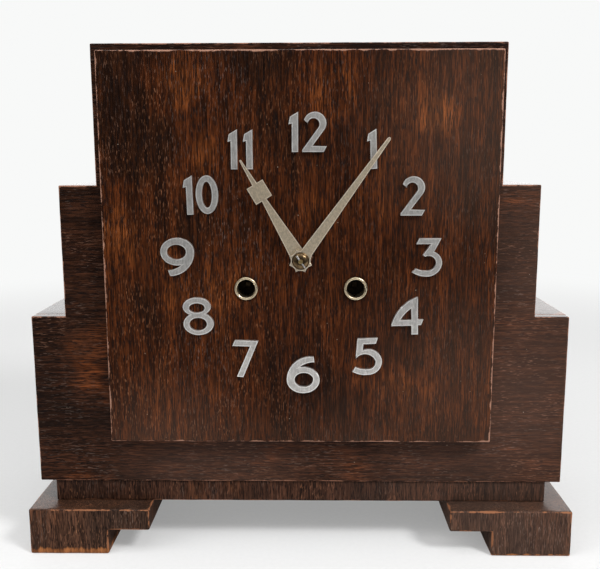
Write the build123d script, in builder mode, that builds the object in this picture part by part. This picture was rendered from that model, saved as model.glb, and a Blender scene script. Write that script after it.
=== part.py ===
from build123d import *
from math import acos, atan2, cos, degrees, hypot, pi, radians, sin
import os

os.makedirs("parts", exist_ok=True)

# Stepped oak mantel clock, in millimetres.
# x = 0 is the middle of the width, y = 0 the middle of the depth with the
# front towards -Y, and z = 0 the surface that the clock stands on.
# A depth is measured backwards from the front face of the case.
# A place on the dial or in the movement is (right, up) from the dial centre.

# Case
case_front = -58.5
case_depth = 130.0
board = 9.0
arris = 1.0
overall_height = 357.7
case_bottom = 50.0
lower_width, lower_shoulder = 378.0, 172.4
middle_width, upper_shoulder = 330.0, 264.0
column_width = 278.0

# Plinth and feet
plinth_width, plinth_bottom, plinth_recess = 357.5, 34.0, 2.0
foot_outer, foot_inner, foot_block_inner = 194.3, 107.4, 137.5
foot_step = 18.4
foot_front, foot_back = -14.0, 136.0

# Dial panel
panel_size, panel_thickness = 268.0, 10.0
panel_x, panel_z = 0.65, 218.0
dial_x, dial_z = 1.5, 214.4
hand_hole = 6.5
winding_x, winding_z = 37.4, -20.3
ferrule_bore, ferrule_barrel, ferrule_flange = 6.1, 6.8, 8.0

# Numerals
numeral_thickness = 2.4
numeral_ring = 83.0
# hand-set shift right, shift up and turn of each numeral
numeral_set = {
    1: (5.6, 1.6, 2.0),
    2: (2.9, 1.1, 0.0),
    3: (2.2, 1.3, 0.0),
    4: (0.6, 2.6, 1.0),
    5: (4.1, 4.4, 1.5),
    6: (1.4, 2.2, 0.0),
    7: (2.7, 2.5, -2.0),
    8: (1.3, 2.1, 1.0),
    9: (-0.6, 1.7, 0.0),
    10: (4.3, 2.0, 1.5),
    11: (1.4, 1.5, 0.0),
    12: (4.6, 1.6, 0.0),
}

# Hands, angles clockwise from twelve
minute_angle, hour_angle = 35.8, 329.0
minute_length, hour_length = 99.5, 77.5
hand_boss = 8.2
hour_hand_depth, minute_hand_depth = -15.2, -18.6

# Movement
plate_front, plate_thickness = 16.0, 1.8
plate_low, plate_high = (-62.0, -50.0), (62.0, 66.0)
plates_apart = 34.0
back_inner = plate_front + plate_thickness + plates_apart
pivot, pivot_hole, arbor = 0.7, 0.75, 1.6
running_gap, endshake = 0.06, 0.3
wheel_thickness = 1.2

time_barrel_at = (winding_x, winding_z)
strike_barrel_at = (-winding_x, winding_z)


def export(piece, name):
    piece.part.label = name
    export_step(piece.part, f"parts/{name}.step")


def facing(depth):
    """The upright plane at a depth, facing the front: sketch x is right and sketch y is up."""
    return Plane.XZ.offset(-(case_front + depth))


def movement_facing(depth):
    """The same plane with its origin on the dial centre."""
    return Plane((dial_x, case_front + depth, dial_z), x_dir=(1, 0, 0), z_dir=(0, -1, 0))


def box_between(name, low, high, rounded=0.0):
    """A rectangular board from (x, depth, z) to (x, depth, z)."""
    size = [h - l for l, h in zip(low, high)]
    middle = [(h + l) / 2 for l, h in zip(low, high)]
    with BuildPart() as piece:
        with Locations((middle[0], case_front + middle[1], middle[2])):
            Box(*size)
        if rounded:
            fillet(piece.edges(), rounded)
    export(piece, name)


# ---------------------------------------------------------------- case boards


def stepped_outline():
    """The front outline of the case."""
    with BuildSketch() as outline:
        with BuildLine():
            Polyline(
                (0, case_bottom),
                (lower_width / 2, case_bottom),
                (lower_width / 2, lower_shoulder),
                (middle_width / 2, lower_shoulder),
                (middle_width / 2, upper_shoulder),
                (column_width / 2, upper_shoulder),
                (column_width / 2, overall_height),
                (0, overall_height),
            )
            mirror(about=Plane.YZ)
        make_face()
    return outline.sketch


opening_low, opening_high = (-60.0, -36.0), (60.0, 50.0)
with BuildPart() as front_board:
    with BuildSketch(facing(board)):
        add(stepped_outline())
        with Locations((dial_x, dial_z + (opening_low[1] + opening_high[1]) / 2)):
            Rectangle(
                opening_high[0] - opening_low[0],
                opening_high[1] - opening_low[1],
                mode=Mode.SUBTRACT,
            )
    extrude(amount=board)
    outline = front_board.faces().sort_by(Axis.Y)[0].outer_wire().edges()
    fillet(outline, arris)
export(front_board, "front_board")

door_half_width, door_bottom, door_top, door_gap = 90.25, 96.0, 300.0, 0.75
with BuildPart() as back_board:
    with BuildSketch(facing(case_depth)):
        add(stepped_outline())
        with Locations((0, (door_bottom + door_top) / 2)):
            Rectangle(2 * door_half_width, door_top - door_bottom, mode=Mode.SUBTRACT)
    extrude(amount=board)
export(back_board, "back_board")

side_front, side_back = board, case_depth - board
column_foot = upper_shoulder - board
middle_foot = lower_shoulder - board
box_between(
    "top_board",
    (-column_width / 2, side_front, overall_height - board),
    (column_width / 2, side_back, overall_height),
)
box_between(
    "bottom_board",
    (-lower_width / 2 + board, side_front, case_bottom),
    (lower_width / 2 - board, side_back, case_bottom + board),
)
# inner x, outer x, low z and high z of the boards on the right; the left ones mirror them
side_boards = {
    "column_side": (column_width / 2 - board, column_width / 2, upper_shoulder, overall_height - board),
    "upper_shoulder": (column_width / 2 - board, middle_width / 2, column_foot, upper_shoulder),
    "middle_side": (middle_width / 2 - board, middle_width / 2, lower_shoulder, column_foot),
    "lower_shoulder": (middle_width / 2 - board, lower_width / 2, middle_foot, lower_shoulder),
    "lower_side": (lower_width / 2 - board, lower_width / 2, case_bottom, middle_foot),
}
for name, (inner, outer, low, high) in side_boards.items():
    box_between(f"{name}_right", (inner, side_front, low), (outer, side_back, high))
    box_between(f"{name}_left", (-outer, side_front, low), (-inner, side_back, high))

box_between(
    "plinth_board",
    (-plinth_width / 2, plinth_recess, plinth_bottom),
    (plinth_width / 2, case_depth - plinth_recess, case_bottom),
    rounded=arris,
)

for side, hand in (("right", 1), ("left", -1)):
    with BuildPart() as foot:
        with BuildSketch(facing(foot_back)):
            with BuildLine():
                Polyline(
                    (hand * foot_block_inner, 0),
                    (hand * foot_outer, 0),
                    (hand * foot_outer, plinth_bottom),
                    (hand * foot_inner, plinth_bottom),
                    (hand * foot_inner, foot_step),
                    (hand * foot_block_inner, foot_step),
                    close=True,
                )
            make_face()
        extrude(amount=foot_back - foot_front)
        ends = foot.faces().filter_by(Axis.Y)
        fillet(ends.edges(), arris)
    export(foot, f"foot_{side}")

# ------------------------------------------------------------- dial and trims

with BuildPart() as dial_panel:
    with BuildSketch(facing(0)):
        with Locations((panel_x, panel_z)):
            Rectangle(panel_size, panel_size)
        with Locations((dial_x, dial_z)):
            Circle(hand_hole, mode=Mode.SUBTRACT)
        with Locations((dial_x - winding_x, dial_z + winding_z), (dial_x + winding_x, dial_z + winding_z)):
            Circle(ferrule_barrel, mode=Mode.SUBTRACT)
    extrude(amount=panel_thickness)
    fillet(dial_panel.faces().sort_by(Axis.Y)[0].outer_wire().edges(), arris)
export(dial_panel, "dial_panel")

ferrule_proud, ferrule_lip = 1.7, 0.75
with BuildPart() as winding_ferrules:
    for side in (-1, 1):
        at = (dial_x + side * winding_x, case_front - panel_thickness, dial_z + winding_z)
        with BuildSketch(Plane(at, x_dir=(1, 0, 0), z_dir=(0, 0, 1))):
            with BuildLine():
                Polyline(
                    (ferrule_bore, panel_thickness),
                    (ferrule_barrel, panel_thickness),
                    (ferrule_barrel, 0),
                    (ferrule_flange, 0),
                    (ferrule_flange, -ferrule_proud / 2),
                )
                ThreePointArc(
                    (ferrule_flange, -ferrule_proud / 2),
                    ((ferrule_flange + ferrule_bore) / 2, -ferrule_proud),
                    (ferrule_bore, -ferrule_proud / 2 + ferrule_lip / 2),
                )
                Line((ferrule_bore, -ferrule_proud / 2 + ferrule_lip / 2), (ferrule_bore, panel_thickness))
            make_face()
        revolve(axis=Axis(at, (0, 1, 0)))
export(winding_ferrules, "winding_ferrules")


# Digits, drawn about their middle on a body 26 mm high with strokes of about 4.2 mm


def digit_0():
    with BuildSketch() as digit:
        Ellipse(7.45, 12.8)
        Ellipse(3.35, 8.7, mode=Mode.SUBTRACT)
    return digit.sketch


def digit_1():
    with BuildSketch() as digit:
        with BuildLine():
            Polyline((3.2, 13), (-2.2, 9.9), (-3.1, 5.0), (-1.0, 5.5), (-1.0, -13), (3.2, -13), close=True)
        make_face()
    return digit.sketch


def digit_2():
    with BuildSketch() as digit:
        with BuildLine():
            ThreePointArc((-6.8, 7.9), (0.4, 13), (7.9, 5.9))
            ThreePointArc((7.9, 5.9), (7.6, 3.6), (6.5, 1.4))
            Polyline((6.5, 1.4), (-1.2, -9.0), (8.2, -9.3), (6.2, -13), (-8, -13), (-8, -11.6), (2.9, 3.2))
            ThreePointArc((2.9, 3.2), (0.5, 8.8), (-4.4, 5.5))
            Line((-4.4, 5.5), (-6.8, 7.9))
        make_face()
    return digit.sketch


def digit_3():
    with BuildSketch() as digit:
        with BuildLine():
            Polyline((-5.4, 13), (9.3, 13), (4.6, 3.9))
            ThreePointArc((4.6, 3.9), (8.6, 1.0), (10.2, -3.5))
            ThreePointArc((10.2, -3.5), (7.0, -10.3), (-0.2, -13))
            ThreePointArc((-0.2, -13), (-5.4, -12.2), (-10, -10))
            Line((-10, -10), (-7.4, -7.5))
            ThreePointArc((-7.4, -7.5), (-4, -8.6), (-0.2, -8.9))
            ThreePointArc((-0.2, -8.9), (4.5, -7.2), (6.2, -3.6))
            ThreePointArc((6.2, -3.6), (4.3, 0.0), (-1.2, 0.6))
            Polyline((-1.2, 0.6), (-2.9, 1.8), (2.6, 9.1), (-7.4, 9.1), (-5.4, 13))
        make_face()
    return digit.sketch


def digit_4():
    with BuildSketch() as digit:
        with BuildLine():
            ThreePointArc((-10.7, -6.9), (-5.6, 4.0), (6.8, 13))
            Polyline(
                (6.8, 13),
                (7.4, 13),
                (7.4, -2.4),
                (11.2, -2.6),
                (9.6, -6.4),
                (7.5, -6.6),
                (7.5, -13),
                (3.1, -13),
                (3.1, -6.8),
                (-10.7, -6.9),
            )
        make_face()
        with BuildLine():
            ThreePointArc((-4.6, -2.9), (-1.3, 1.6), (3.0, 5.3))
            Polyline((3.0, 5.3), (3.1, -2.7), (-4.6, -2.9))
        make_face(mode=Mode.SUBTRACT)
    return digit.sketch


def digit_5():
    with BuildSketch() as digit:
        with BuildLine():
            Polyline((-6.4, 12.8), (7.6, 13), (6.2, 9.0), (-2.4, 8.8), (-2.9, 4.4))
            ThreePointArc((-2.9, 4.4), (6.6, 3.2), (10.2, -3.6))
            ThreePointArc((10.2, -3.6), (7.6, -10.0), (0.4, -13))
            ThreePointArc((0.4, -13), (-5.4, -12.6), (-10.3, -10.6))
            Line((-10.3, -10.6), (-8.3, -7.3))
            ThreePointArc((-8.3, -7.3), (-3.6, -8.8), (1.4, -8.9))
            ThreePointArc((1.4, -8.9), (5.0, -6.9), (5.9, -3.6))
            ThreePointArc((5.9, -3.6), (2.0, 0.9), (-7.9, -1.5))
            Line((-7.9, -1.5), (-6.4, 12.8))
        make_face()
    return digit.sketch


def digit_6():
    with BuildSketch() as digit:
        with Locations((0.1, -3.6)):
            Ellipse(11.4, 9.4)
        with BuildLine():
            ThreePointArc((-11.3, -3.6), (-5.6, 9.0), (7.3, 13))
            Line((7.3, 13), (7.9, 9.2))
            ThreePointArc((7.9, 9.2), (0.6, 7.6), (-5.2, 2.6))
            Polyline((-5.2, 2.6), (-6.8, -3.6), (-11.3, -3.6))
        make_face()
        with Locations((0.6, -3.4)):
            Ellipse(6.5, 5.0, mode=Mode.SUBTRACT)
    return digit.sketch


def digit_7():
    with BuildSketch() as digit:
        with BuildLine():
            Polyline(
                (-7.2, 13.1), (8.9, 13.1), (-0.8, -13), (-5.2, -12.8), (3.4, 9.0), (-8.9, 9.0), close=True
            )
        make_face()
    return digit.sketch


def digit_8():
    with BuildSketch() as digit:
        with Locations((-0.6, 6.8)):
            Ellipse(9.6, 6.4)
        with Locations((0.2, -5.2)):
            Ellipse(10.4, 7.8)
        with Locations((-0.6, 5.9)):
            Ellipse(5.4, 3.3, mode=Mode.SUBTRACT)
        with Locations((-0.1, -5.4)):
            Ellipse(6.0, 4.5, mode=Mode.SUBTRACT)
    return digit.sketch


def digit_9():
    with BuildSketch() as digit:
        with Locations((-0.1, 3.6)):
            Ellipse(11.4, 9.4)
        with BuildLine():
            ThreePointArc((11.3, 3.6), (5.6, -9.0), (-5.3, -13))
            Line((-5.3, -13), (-6.6, -9.0))
            ThreePointArc((-6.6, -9.0), (-0.6, -7.6), (5.2, -2.6))
            Polyline((5.2, -2.6), (6.8, 3.6), (11.3, 3.6))
        make_face()
        with Locations((-0.6, 3.4)):
            Ellipse(6.5, 5.0, mode=Mode.SUBTRACT)
    return digit.sketch


digit_shapes = {
    "0": digit_0,
    "1": digit_1,
    "2": digit_2,
    "3": digit_3,
    "4": digit_4,
    "5": digit_5,
    "6": digit_6,
    "7": digit_7,
    "8": digit_8,
    "9": digit_9,
}
# where each digit of a two-digit numeral stands, right of the numeral's middle
digit_places = {"10": (-7.9, 4.9), "11": (-5.1, 5.1), "12": (-9.4, 4.5)}

for hour, (shift_right, shift_up, turn) in numeral_set.items():
    around = radians(30 * hour)
    at = (
        dial_x + numeral_ring * sin(around) + shift_right,
        case_front - panel_thickness,
        dial_z + numeral_ring * cos(around) + shift_up,
    )
    along = (cos(radians(turn)), 0, sin(radians(turn)))
    upright = Plane(at, x_dir=along, z_dir=(0, -1, 0))
    places = digit_places.get(str(hour), (0,))
    with BuildPart() as numeral:
        for digit, place in zip(str(hour), places):
            plane = upright.shift_origin(upright.from_local_coords(Vector(place, 0, 0)))
            with BuildSketch(plane):
                add(digit_shapes[digit]())
            extrude(amount=numeral_thickness)
    export(numeral, f"numeral_{hour}")

# ---------------------------------------------------------------------- hands

hand_thickness = 1.6
# both bosses are eight-pointed, with hollowed sides
boss_points, boss_turn, boss_waist, boss_hollow = 8, 22.0, 6.5, 5.3
hour_pipe_outer, hour_pipe_bore, minute_pipe = 4.2, 2.66, 2.6
arbor_tip, arbor_end = 1.5, -25.0


def hand_plane(depth, angle):
    """The plane of a hand: sketch y runs along it to its tip."""
    return Plane(
        (dial_x, case_front + depth, dial_z),
        x_dir=(cos(radians(angle)), 0, -sin(radians(angle))),
        z_dir=(0, -1, 0),
    )


def hand_blade(points):
    """A hand's outline, from its right-hand points between boss and tip."""
    with BuildSketch() as blade:
        with BuildLine():
            Polyline(*points)
            mirror(about=Plane.YZ)
        make_face()
    return blade.sketch


minute_root, minute_tip = 3.8, 1.1
minute_half = [
    (0, 0),
    (minute_root, 0),
    (minute_root, hand_boss - 1),
    (minute_tip, minute_length - minute_tip),
    (minute_tip * 0.5, minute_length),
    (0, minute_length),
]
square_middle, square_half = 53.0, 6.1
hour_root, hour_neck, hour_tip = 4.8, 1.7, 0.6
hour_half = [
    (0, 0),
    (hour_root, 0),
    (hour_root, hand_boss - 1),
    (hour_neck, square_middle - square_half),
    (square_half, square_middle - square_half),
    (square_half, square_middle + square_half),
    (hour_neck, square_middle + square_half),
    (hour_tip, hour_length - hour_tip),
    (hour_tip * 0.5, hour_length),
    (0, hour_length),
]
for name, depth, angle, half, bore in (
    ("minute_hand", minute_hand_depth, minute_angle, minute_half, minute_pipe),
    ("hour_hand", hour_hand_depth, hour_angle, hour_half, hour_pipe_outer),
):
    with BuildPart() as clock_hand:
        with BuildSketch(hand_plane(depth, angle)):
            RegularPolygon(hand_boss, boss_points, rotation=angle + boss_turn)
            between_points = angle + boss_turn + 180 / boss_points
            with PolarLocations(boss_waist + boss_hollow, boss_points, start_angle=between_points):
                Circle(boss_hollow, mode=Mode.SUBTRACT)
            add(hand_blade(half))
            Circle(bore, mode=Mode.SUBTRACT)
        extrude(amount=hand_thickness)
    export(clock_hand, name)

collet_radius, collet_height, collet_wall, collet_rim = 5.9, 2.8, 0.8, 0.9
collet_bore = arbor_tip + 0.05
collet_back = case_front + minute_hand_depth - hand_thickness
with BuildPart() as hand_collet:
    with BuildSketch(Plane((dial_x, collet_back, dial_z), x_dir=(1, 0, 0), z_dir=(0, 0, 1))):
        with BuildLine():
            Line((collet_bore, -collet_height), (collet_bore, -collet_height + collet_wall))
            ThreePointArc(
                (collet_bore, -collet_height + collet_wall), (3.9, -1.4), (collet_radius - collet_rim, 0)
            )
            Line((collet_radius - collet_rim, 0), (collet_radius, 0))
            ThreePointArc((collet_radius, 0), (4.7, -1.9), (collet_bore, -collet_height))
        make_face()
    revolve(axis=Axis((dial_x, collet_back, dial_z), (0, 1, 0)))
export(hand_collet, "hand_collet")

pin_angle, pin_thick, pin_thin = 145.0, 0.62, 0.42
pin_ahead, pin_behind = 5.6, 4.7
pin_depth = minute_hand_depth - hand_thickness - collet_height - pin_thick
with BuildPart() as taper_pin:
    with Locations(hand_plane(pin_depth, pin_angle)):
        with Locations(Location((0, (pin_ahead - pin_behind) / 2, 0), (-90, 0, 0))):
            Cone(pin_thick, pin_thin, pin_ahead + pin_behind)
export(taper_pin, "taper_pin")

# -------------------------------------------------------------------- gearing


def between(centre_a, centre_b, radius_a, radius_b, left):
    """The arbor at radius_a from centre_a and radius_b from centre_b, on the left going from a to b."""
    apart = hypot(centre_b[0] - centre_a[0], centre_b[1] - centre_a[1])
    base = atan2(centre_b[1] - centre_a[1], centre_b[0] - centre_a[0])
    turn = acos((radius_a**2 + apart**2 - radius_b**2) / (2 * radius_a * apart))
    angle = base + (turn if left else -turn)
    return (centre_a[0] + radius_a * cos(angle), centre_a[1] + radius_a * sin(angle))


def toward(centre, distance, angle):
    return (centre[0] + distance * cos(radians(angle)), centre[1] + distance * sin(radians(angle)))


def bearing(from_centre, to_centre):
    return degrees(atan2(to_centre[1] - from_centre[1], to_centre[0] - from_centre[0]))


def apart(module, teeth_a, teeth_b):
    return module * (teeth_a + teeth_b) / 2


def tooth_ring(teeth, module, phase, pinion):
    """A toothed disc with the middle of one tooth at the phase angle."""
    radius = module * teeth / 2
    tip, root = (0.55, 1.5) if pinion else (0.9, 1.3)
    tip_share, pitch_share, root_share = (0.08, 0.16, 0.11) if pinion else (0.06, 0.19, 0.21)
    rim = []
    for tooth in range(teeth):
        for share, height in (
            (-root_share, radius - root * module),
            (-pitch_share, radius),
            (-tip_share, radius + tip * module),
            (tip_share, radius + tip * module),
            (pitch_share, radius),
            (root_share, radius - root * module),
        ):
            angle = radians(phase) + 2 * pi * (tooth + share) / teeth
            rim.append((height * cos(angle), height * sin(angle)))
    with BuildSketch() as ring:
        with BuildLine():
            Polyline(*rim, close=True)
        make_face()
    return ring.sketch


def wheel(at, teeth, module, phase, front, thickness, pinion=False, spokes=0, bore=0.0):
    """Adds a toothed wheel to the running part, its front face at the given depth."""
    with BuildSketch(movement_facing(front + thickness)) as disc:
        with Locations(at):
            add(tooth_ring(teeth, module, phase, pinion))
            if spokes:
                rim = module * teeth / 2 - 3.2 * module
                Circle(rim, mode=Mode.SUBTRACT)
                Circle(rim * 0.3)
                with PolarLocations(0, spokes):
                    Rectangle(rim + 0.3, 1.8, align=(Align.MIN, Align.CENTER))
            if bore:
                Circle(bore, mode=Mode.SUBTRACT)
    extrude(disc.sketch, amount=thickness)


def rod(at, radius, front, back, mode=Mode.ADD):
    """Adds or removes a round bar between two depths."""
    with BuildSketch(movement_facing(back)) as section:
        with Locations(at):
            Circle(radius)
    extrude(section.sketch, amount=back - front, mode=mode)


def pivoted_arbor(at, radius=arbor):
    """An arbor between the plates with its pivots in their holes."""
    rod(at, radius, plate_front + plate_thickness + endshake, back_inner - endshake)
    rod(at, pivot, plate_front + endshake, back_inner + plate_thickness)


# modules and teeth
barrel_module, barrel_teeth, barrel_pinion = 0.6, 72, 12
second_module, second_teeth, centre_pinion = 0.7, 60, 12
centre_module, centre_teeth, third_pinion = 0.48, 90, 8
third_module, third_teeth, escape_pinion = 0.42, 84, 7
motion_module, cannon_teeth, minute_teeth = 0.6, 12, 36
minute_pinion, hour_teeth = 10, 40
pin_module, pin_teeth, fly_pinion = 0.5, 64, 8

# arbor places
centre_at = (0.0, 0.0)
second_apart = apart(second_module, second_teeth, centre_pinion)
barrel_apart = apart(barrel_module, barrel_teeth, barrel_pinion)
second_at = between(centre_at, time_barrel_at, second_apart, barrel_apart, left=True)
third_at = toward(centre_at, apart(centre_module, centre_teeth, third_pinion), 100)
escape_apart = apart(third_module, third_teeth, escape_pinion)
escape_at = toward(third_at, escape_apart, degrees(acos(-third_at[0] / escape_apart)))
anchor_at = (0.0, 58.8)
minute_apart = apart(motion_module, cannon_teeth, minute_teeth)
minute_at = toward(centre_at, minute_apart, -90)
hour_module = 2 * minute_apart / (minute_pinion + hour_teeth)
pin_at = toward(strike_barrel_at, barrel_apart, 80)
fly_at = toward(pin_at, apart(pin_module, pin_teeth, fly_pinion), 100)
hammer_at = (-16.0, -44.0)
pillar_places = [(-54, -42), (54, -42), (-54, 58), (54, 58)]


def mating_phase(teeth, own_centre, mate_centre):
    """The phase that puts a gap where the mate, which has a tooth there, meets this wheel."""
    return bearing(own_centre, mate_centre) + 180 / teeth


# depths of the wheels' front faces
barrel_wheel_depth, second_wheel_depth = 42.0, 46.0
centre_wheel_depth, third_wheel_depth, escape_wheel_depth = 22.0, 29.0, 40.0
pin_wheel_depth = 46.0
cannon_depth, minute_wheel_depth, hour_wheel_depth = 12.8, 13.4, 9.8

plate_width = plate_high[0] - plate_low[0]
plate_height = plate_high[1] - plate_low[1]
plate_middle = (plate_low[1] + plate_high[1]) / 2
pillar, pillar_end = 3.0, 2.0
winding_arbor, stud = 3.0, 1.5
centre_arbor = 2.6


def movement_plate(front):
    """A movement plate with its pivot, pillar and arbor holes."""
    with BuildSketch(movement_facing(front + plate_thickness)) as plate:
        with Locations((0, plate_middle)):
            Rectangle(plate_width, plate_height)
        with Locations(second_at, third_at, escape_at, anchor_at, pin_at, fly_at, hammer_at):
            Circle(pivot_hole, mode=Mode.SUBTRACT)
        with Locations(time_barrel_at, strike_barrel_at):
            Circle(winding_arbor + running_gap, mode=Mode.SUBTRACT)
        with Locations(*pillar_places):
            Circle(pillar_end, mode=Mode.SUBTRACT)
    extrude(plate.sketch, amount=plate_thickness)


with BuildPart() as front_plate:
    movement_plate(plate_front)
    rod(centre_at, centre_arbor + running_gap, plate_front, plate_front + plate_thickness, Mode.SUBTRACT)
    rod(minute_at, stud, hour_wheel_depth - wheel_thickness, plate_front)
export(front_plate, "front_plate")

with BuildPart() as back_plate:
    movement_plate(back_inner)
    rod(centre_at, pivot_hole, back_inner, back_inner + plate_thickness, Mode.SUBTRACT)
export(back_plate, "back_plate")

nut_across, nut_thickness = 4.0, 2.2
with BuildPart() as pillars:
    for place in pillar_places:
        rod(place, pillar, plate_front + plate_thickness, back_inner)
        rod(place, pillar_end, plate_front, back_inner + plate_thickness + nut_thickness + 0.8)
        with BuildSketch(movement_facing(back_inner + plate_thickness + nut_thickness)):
            with Locations(place):
                RegularPolygon(nut_across, 6)
        extrude(amount=nut_thickness)
export(pillars, "pillars")

rail_low, rail_high, rail_half = (-54.0, 52.0), (-38.0, 68.0), 85.0
with BuildPart() as movement_rails:
    for low, high in zip(rail_low, rail_high):
        with Locations(
            (dial_x, case_front + (board + plate_front) / 2, dial_z + (low + high) / 2)
        ):
            Box(2 * rail_half, plate_front - board, high - low)
export(movement_rails, "movement_rails")

# ------------------------------------------------------------- going train

drum_radius, drum_wall, drum_front = 19.0, 1.4, 21.0


def barrel(name, at, mate):
    """A mainspring barrel: a hollow drum closed by its toothed end."""
    with BuildPart() as piece:
        rod(at, drum_radius, drum_front, barrel_wheel_depth)
        rod(at, drum_radius - drum_wall, drum_front + drum_wall, barrel_wheel_depth, Mode.SUBTRACT)
        wheel(at, barrel_teeth, barrel_module, bearing(at, mate), barrel_wheel_depth, 2.0)
        bore_back = barrel_wheel_depth + 2.0
        rod(at, winding_arbor + running_gap, drum_front, bore_back, Mode.SUBTRACT)
    export(piece, name)


barrel("time_barrel", time_barrel_at, second_at)
barrel("strike_barrel", strike_barrel_at, pin_at)

square, ratchet_radius, ratchet_teeth, ratchet_thickness = 4.4, 9.0, 22, 1.8
square_tip, ratchet_depth = 7.0, 13.6
for name, at in (("time_winding_arbor", time_barrel_at), ("strike_winding_arbor", strike_barrel_at)):
    with BuildPart() as winding:
        rod(at, winding_arbor, ratchet_depth, back_inner + plate_thickness)
        with BuildSketch(movement_facing(ratchet_depth)):
            with Locations(at):
                Rectangle(square, square)
        extrude(amount=ratchet_depth - square_tip)
        chamfer(winding.faces().sort_by(Axis.Y)[0].edges(), 0.5)
        with BuildSketch(movement_facing(ratchet_depth + ratchet_thickness)):
            with Locations(at):
                Circle(ratchet_radius - 1.1)
                with PolarLocations(0, ratchet_teeth):
                    Polygon(
                        (ratchet_radius - 1.6, -1.2),
                        (ratchet_radius - 1.2, -1.2),
                        (ratchet_radius, 1.1),
                        (ratchet_radius - 1.6, 1.1),
                        align=None,
                    )
        extrude(amount=ratchet_thickness)
    export(winding, name)

pinion_length = 3.4
with BuildPart() as second_wheel:
    pivoted_arbor(second_at)
    phase = bearing(second_at, centre_at)
    wheel(second_at, second_teeth, second_module, phase, second_wheel_depth, wheel_thickness, spokes=5)
    phase = mating_phase(barrel_pinion, second_at, time_barrel_at)
    wheel(second_at, barrel_pinion, barrel_module, phase, barrel_wheel_depth - 0.6, pinion_length, True)
    rod(second_at, arbor, barrel_wheel_depth - 1, second_wheel_depth + 3)
    rod(second_at, 4.4, second_wheel_depth - 0.8, second_wheel_depth)
export(second_wheel, "second_wheel")

with BuildPart() as centre_wheel:
    rod(centre_at, centre_arbor, minute_hand_depth - hand_thickness, back_inner - endshake)
    rod(centre_at, pivot, back_inner - endshake, back_inner + plate_thickness)
    rod(centre_at, arbor_tip, arbor_end, minute_hand_depth)
    phase = bearing(centre_at, third_at)
    wheel(centre_at, centre_teeth, centre_module, phase, centre_wheel_depth, wheel_thickness, spokes=5)
    phase = mating_phase(centre_pinion, centre_at, second_at)
    wheel(centre_at, centre_pinion, second_module, phase, second_wheel_depth - 1.1, pinion_length, True)
    phase = bearing(centre_at, minute_at)
    wheel(centre_at, cannon_teeth, motion_module, phase, cannon_depth, 3.0)
    rod(centre_at, centre_arbor, minute_hand_depth, back_inner - endshake)
    with Locations(hand_plane(pin_depth, pin_angle)):
        Cylinder(pin_thick + 0.03, 4 * arbor_tip, rotation=(90, 0, 0), mode=Mode.SUBTRACT)
export(centre_wheel, "centre_wheel")

with BuildPart() as third_wheel:
    pivoted_arbor(third_at, 1.15)
    phase = bearing(third_at, escape_at)
    wheel(third_at, third_teeth, third_module, phase, third_wheel_depth, 1.0, spokes=5)
    phase = mating_phase(third_pinion, third_at, centre_at)
    wheel(third_at, third_pinion, centre_module, phase, centre_wheel_depth - 1, pinion_length, True)
    rod(third_at, 3.4, third_wheel_depth, third_wheel_depth + 2)
export(third_wheel, "third_wheel")

escape_radius, escape_teeth, escape_thickness = 12.0, 36, 0.8
with BuildPart() as escape_wheel:
    pivoted_arbor(escape_at, 0.8)
    phase = mating_phase(escape_pinion, escape_at, third_at)
    wheel(escape_at, escape_pinion, third_module, phase, third_wheel_depth - 1, pinion_length, True)
    with BuildSketch(movement_facing(escape_wheel_depth + escape_thickness)):
        with Locations(escape_at):
            Circle(escape_radius - 1.8)
            with PolarLocations(0, escape_teeth):
                Polygon(
                    (escape_radius - 2.0, -0.5),
                    (escape_radius, 0.55),
                    (escape_radius - 0.1, 0.75),
                    (escape_radius - 2.0, 0.5),
                    align=None,
                )
            Circle(escape_radius - 3.2, mode=Mode.SUBTRACT)
            Circle(3.2)
            with PolarLocations(0, 4):
                Rectangle(escape_radius - 3.0, 1.4, align=(Align.MIN, Align.CENTER))
    extrude(amount=escape_thickness)
export(escape_wheel, "escape_wheel")

crutch_depth, crutch_length, rod_depth = 55.0, 36.0, 59.0
crutch_thickness, crutch_width, crutch_pin = 1.2, 2.0, 0.8
pallet_thickness, anchor_hub = 2.2, 3.2


def pallet_arms():
    """The anchor's two arms about its arbor; the nibs stay just outside the escape wheel."""
    with BuildSketch() as arms:
        with BuildLine():
            Polyline((0, 3.2), (4.5, 1.5), (13, -6.3), (11.3, -9.2), (9.6, -8.3), (6, -5.2), (0, -3.0))
            mirror(about=Plane.YZ)
        make_face()
    return arms.sketch


with BuildPart() as anchor:
    rod(anchor_at, arbor, plate_front + plate_thickness + endshake, back_inner - endshake)
    rod(anchor_at, pivot, plate_front + endshake, crutch_depth + crutch_thickness)
    with BuildSketch(movement_facing(escape_wheel_depth + 1.6)):
        with Locations(anchor_at):
            Circle(anchor_hub)
            add(pallet_arms())
    extrude(amount=pallet_thickness)
    with BuildSketch(movement_facing(crutch_depth + crutch_thickness)):
        with Locations(anchor_at):
            Circle(1.2 * crutch_width)
            Rectangle(crutch_width, crutch_length, align=(Align.CENTER, Align.MAX))
    extrude(amount=crutch_thickness)
    rod((anchor_at[0], anchor_at[1] - crutch_length + 1), crutch_pin, crutch_depth, rod_depth + 3.5)
export(anchor, "anchor")

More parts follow.
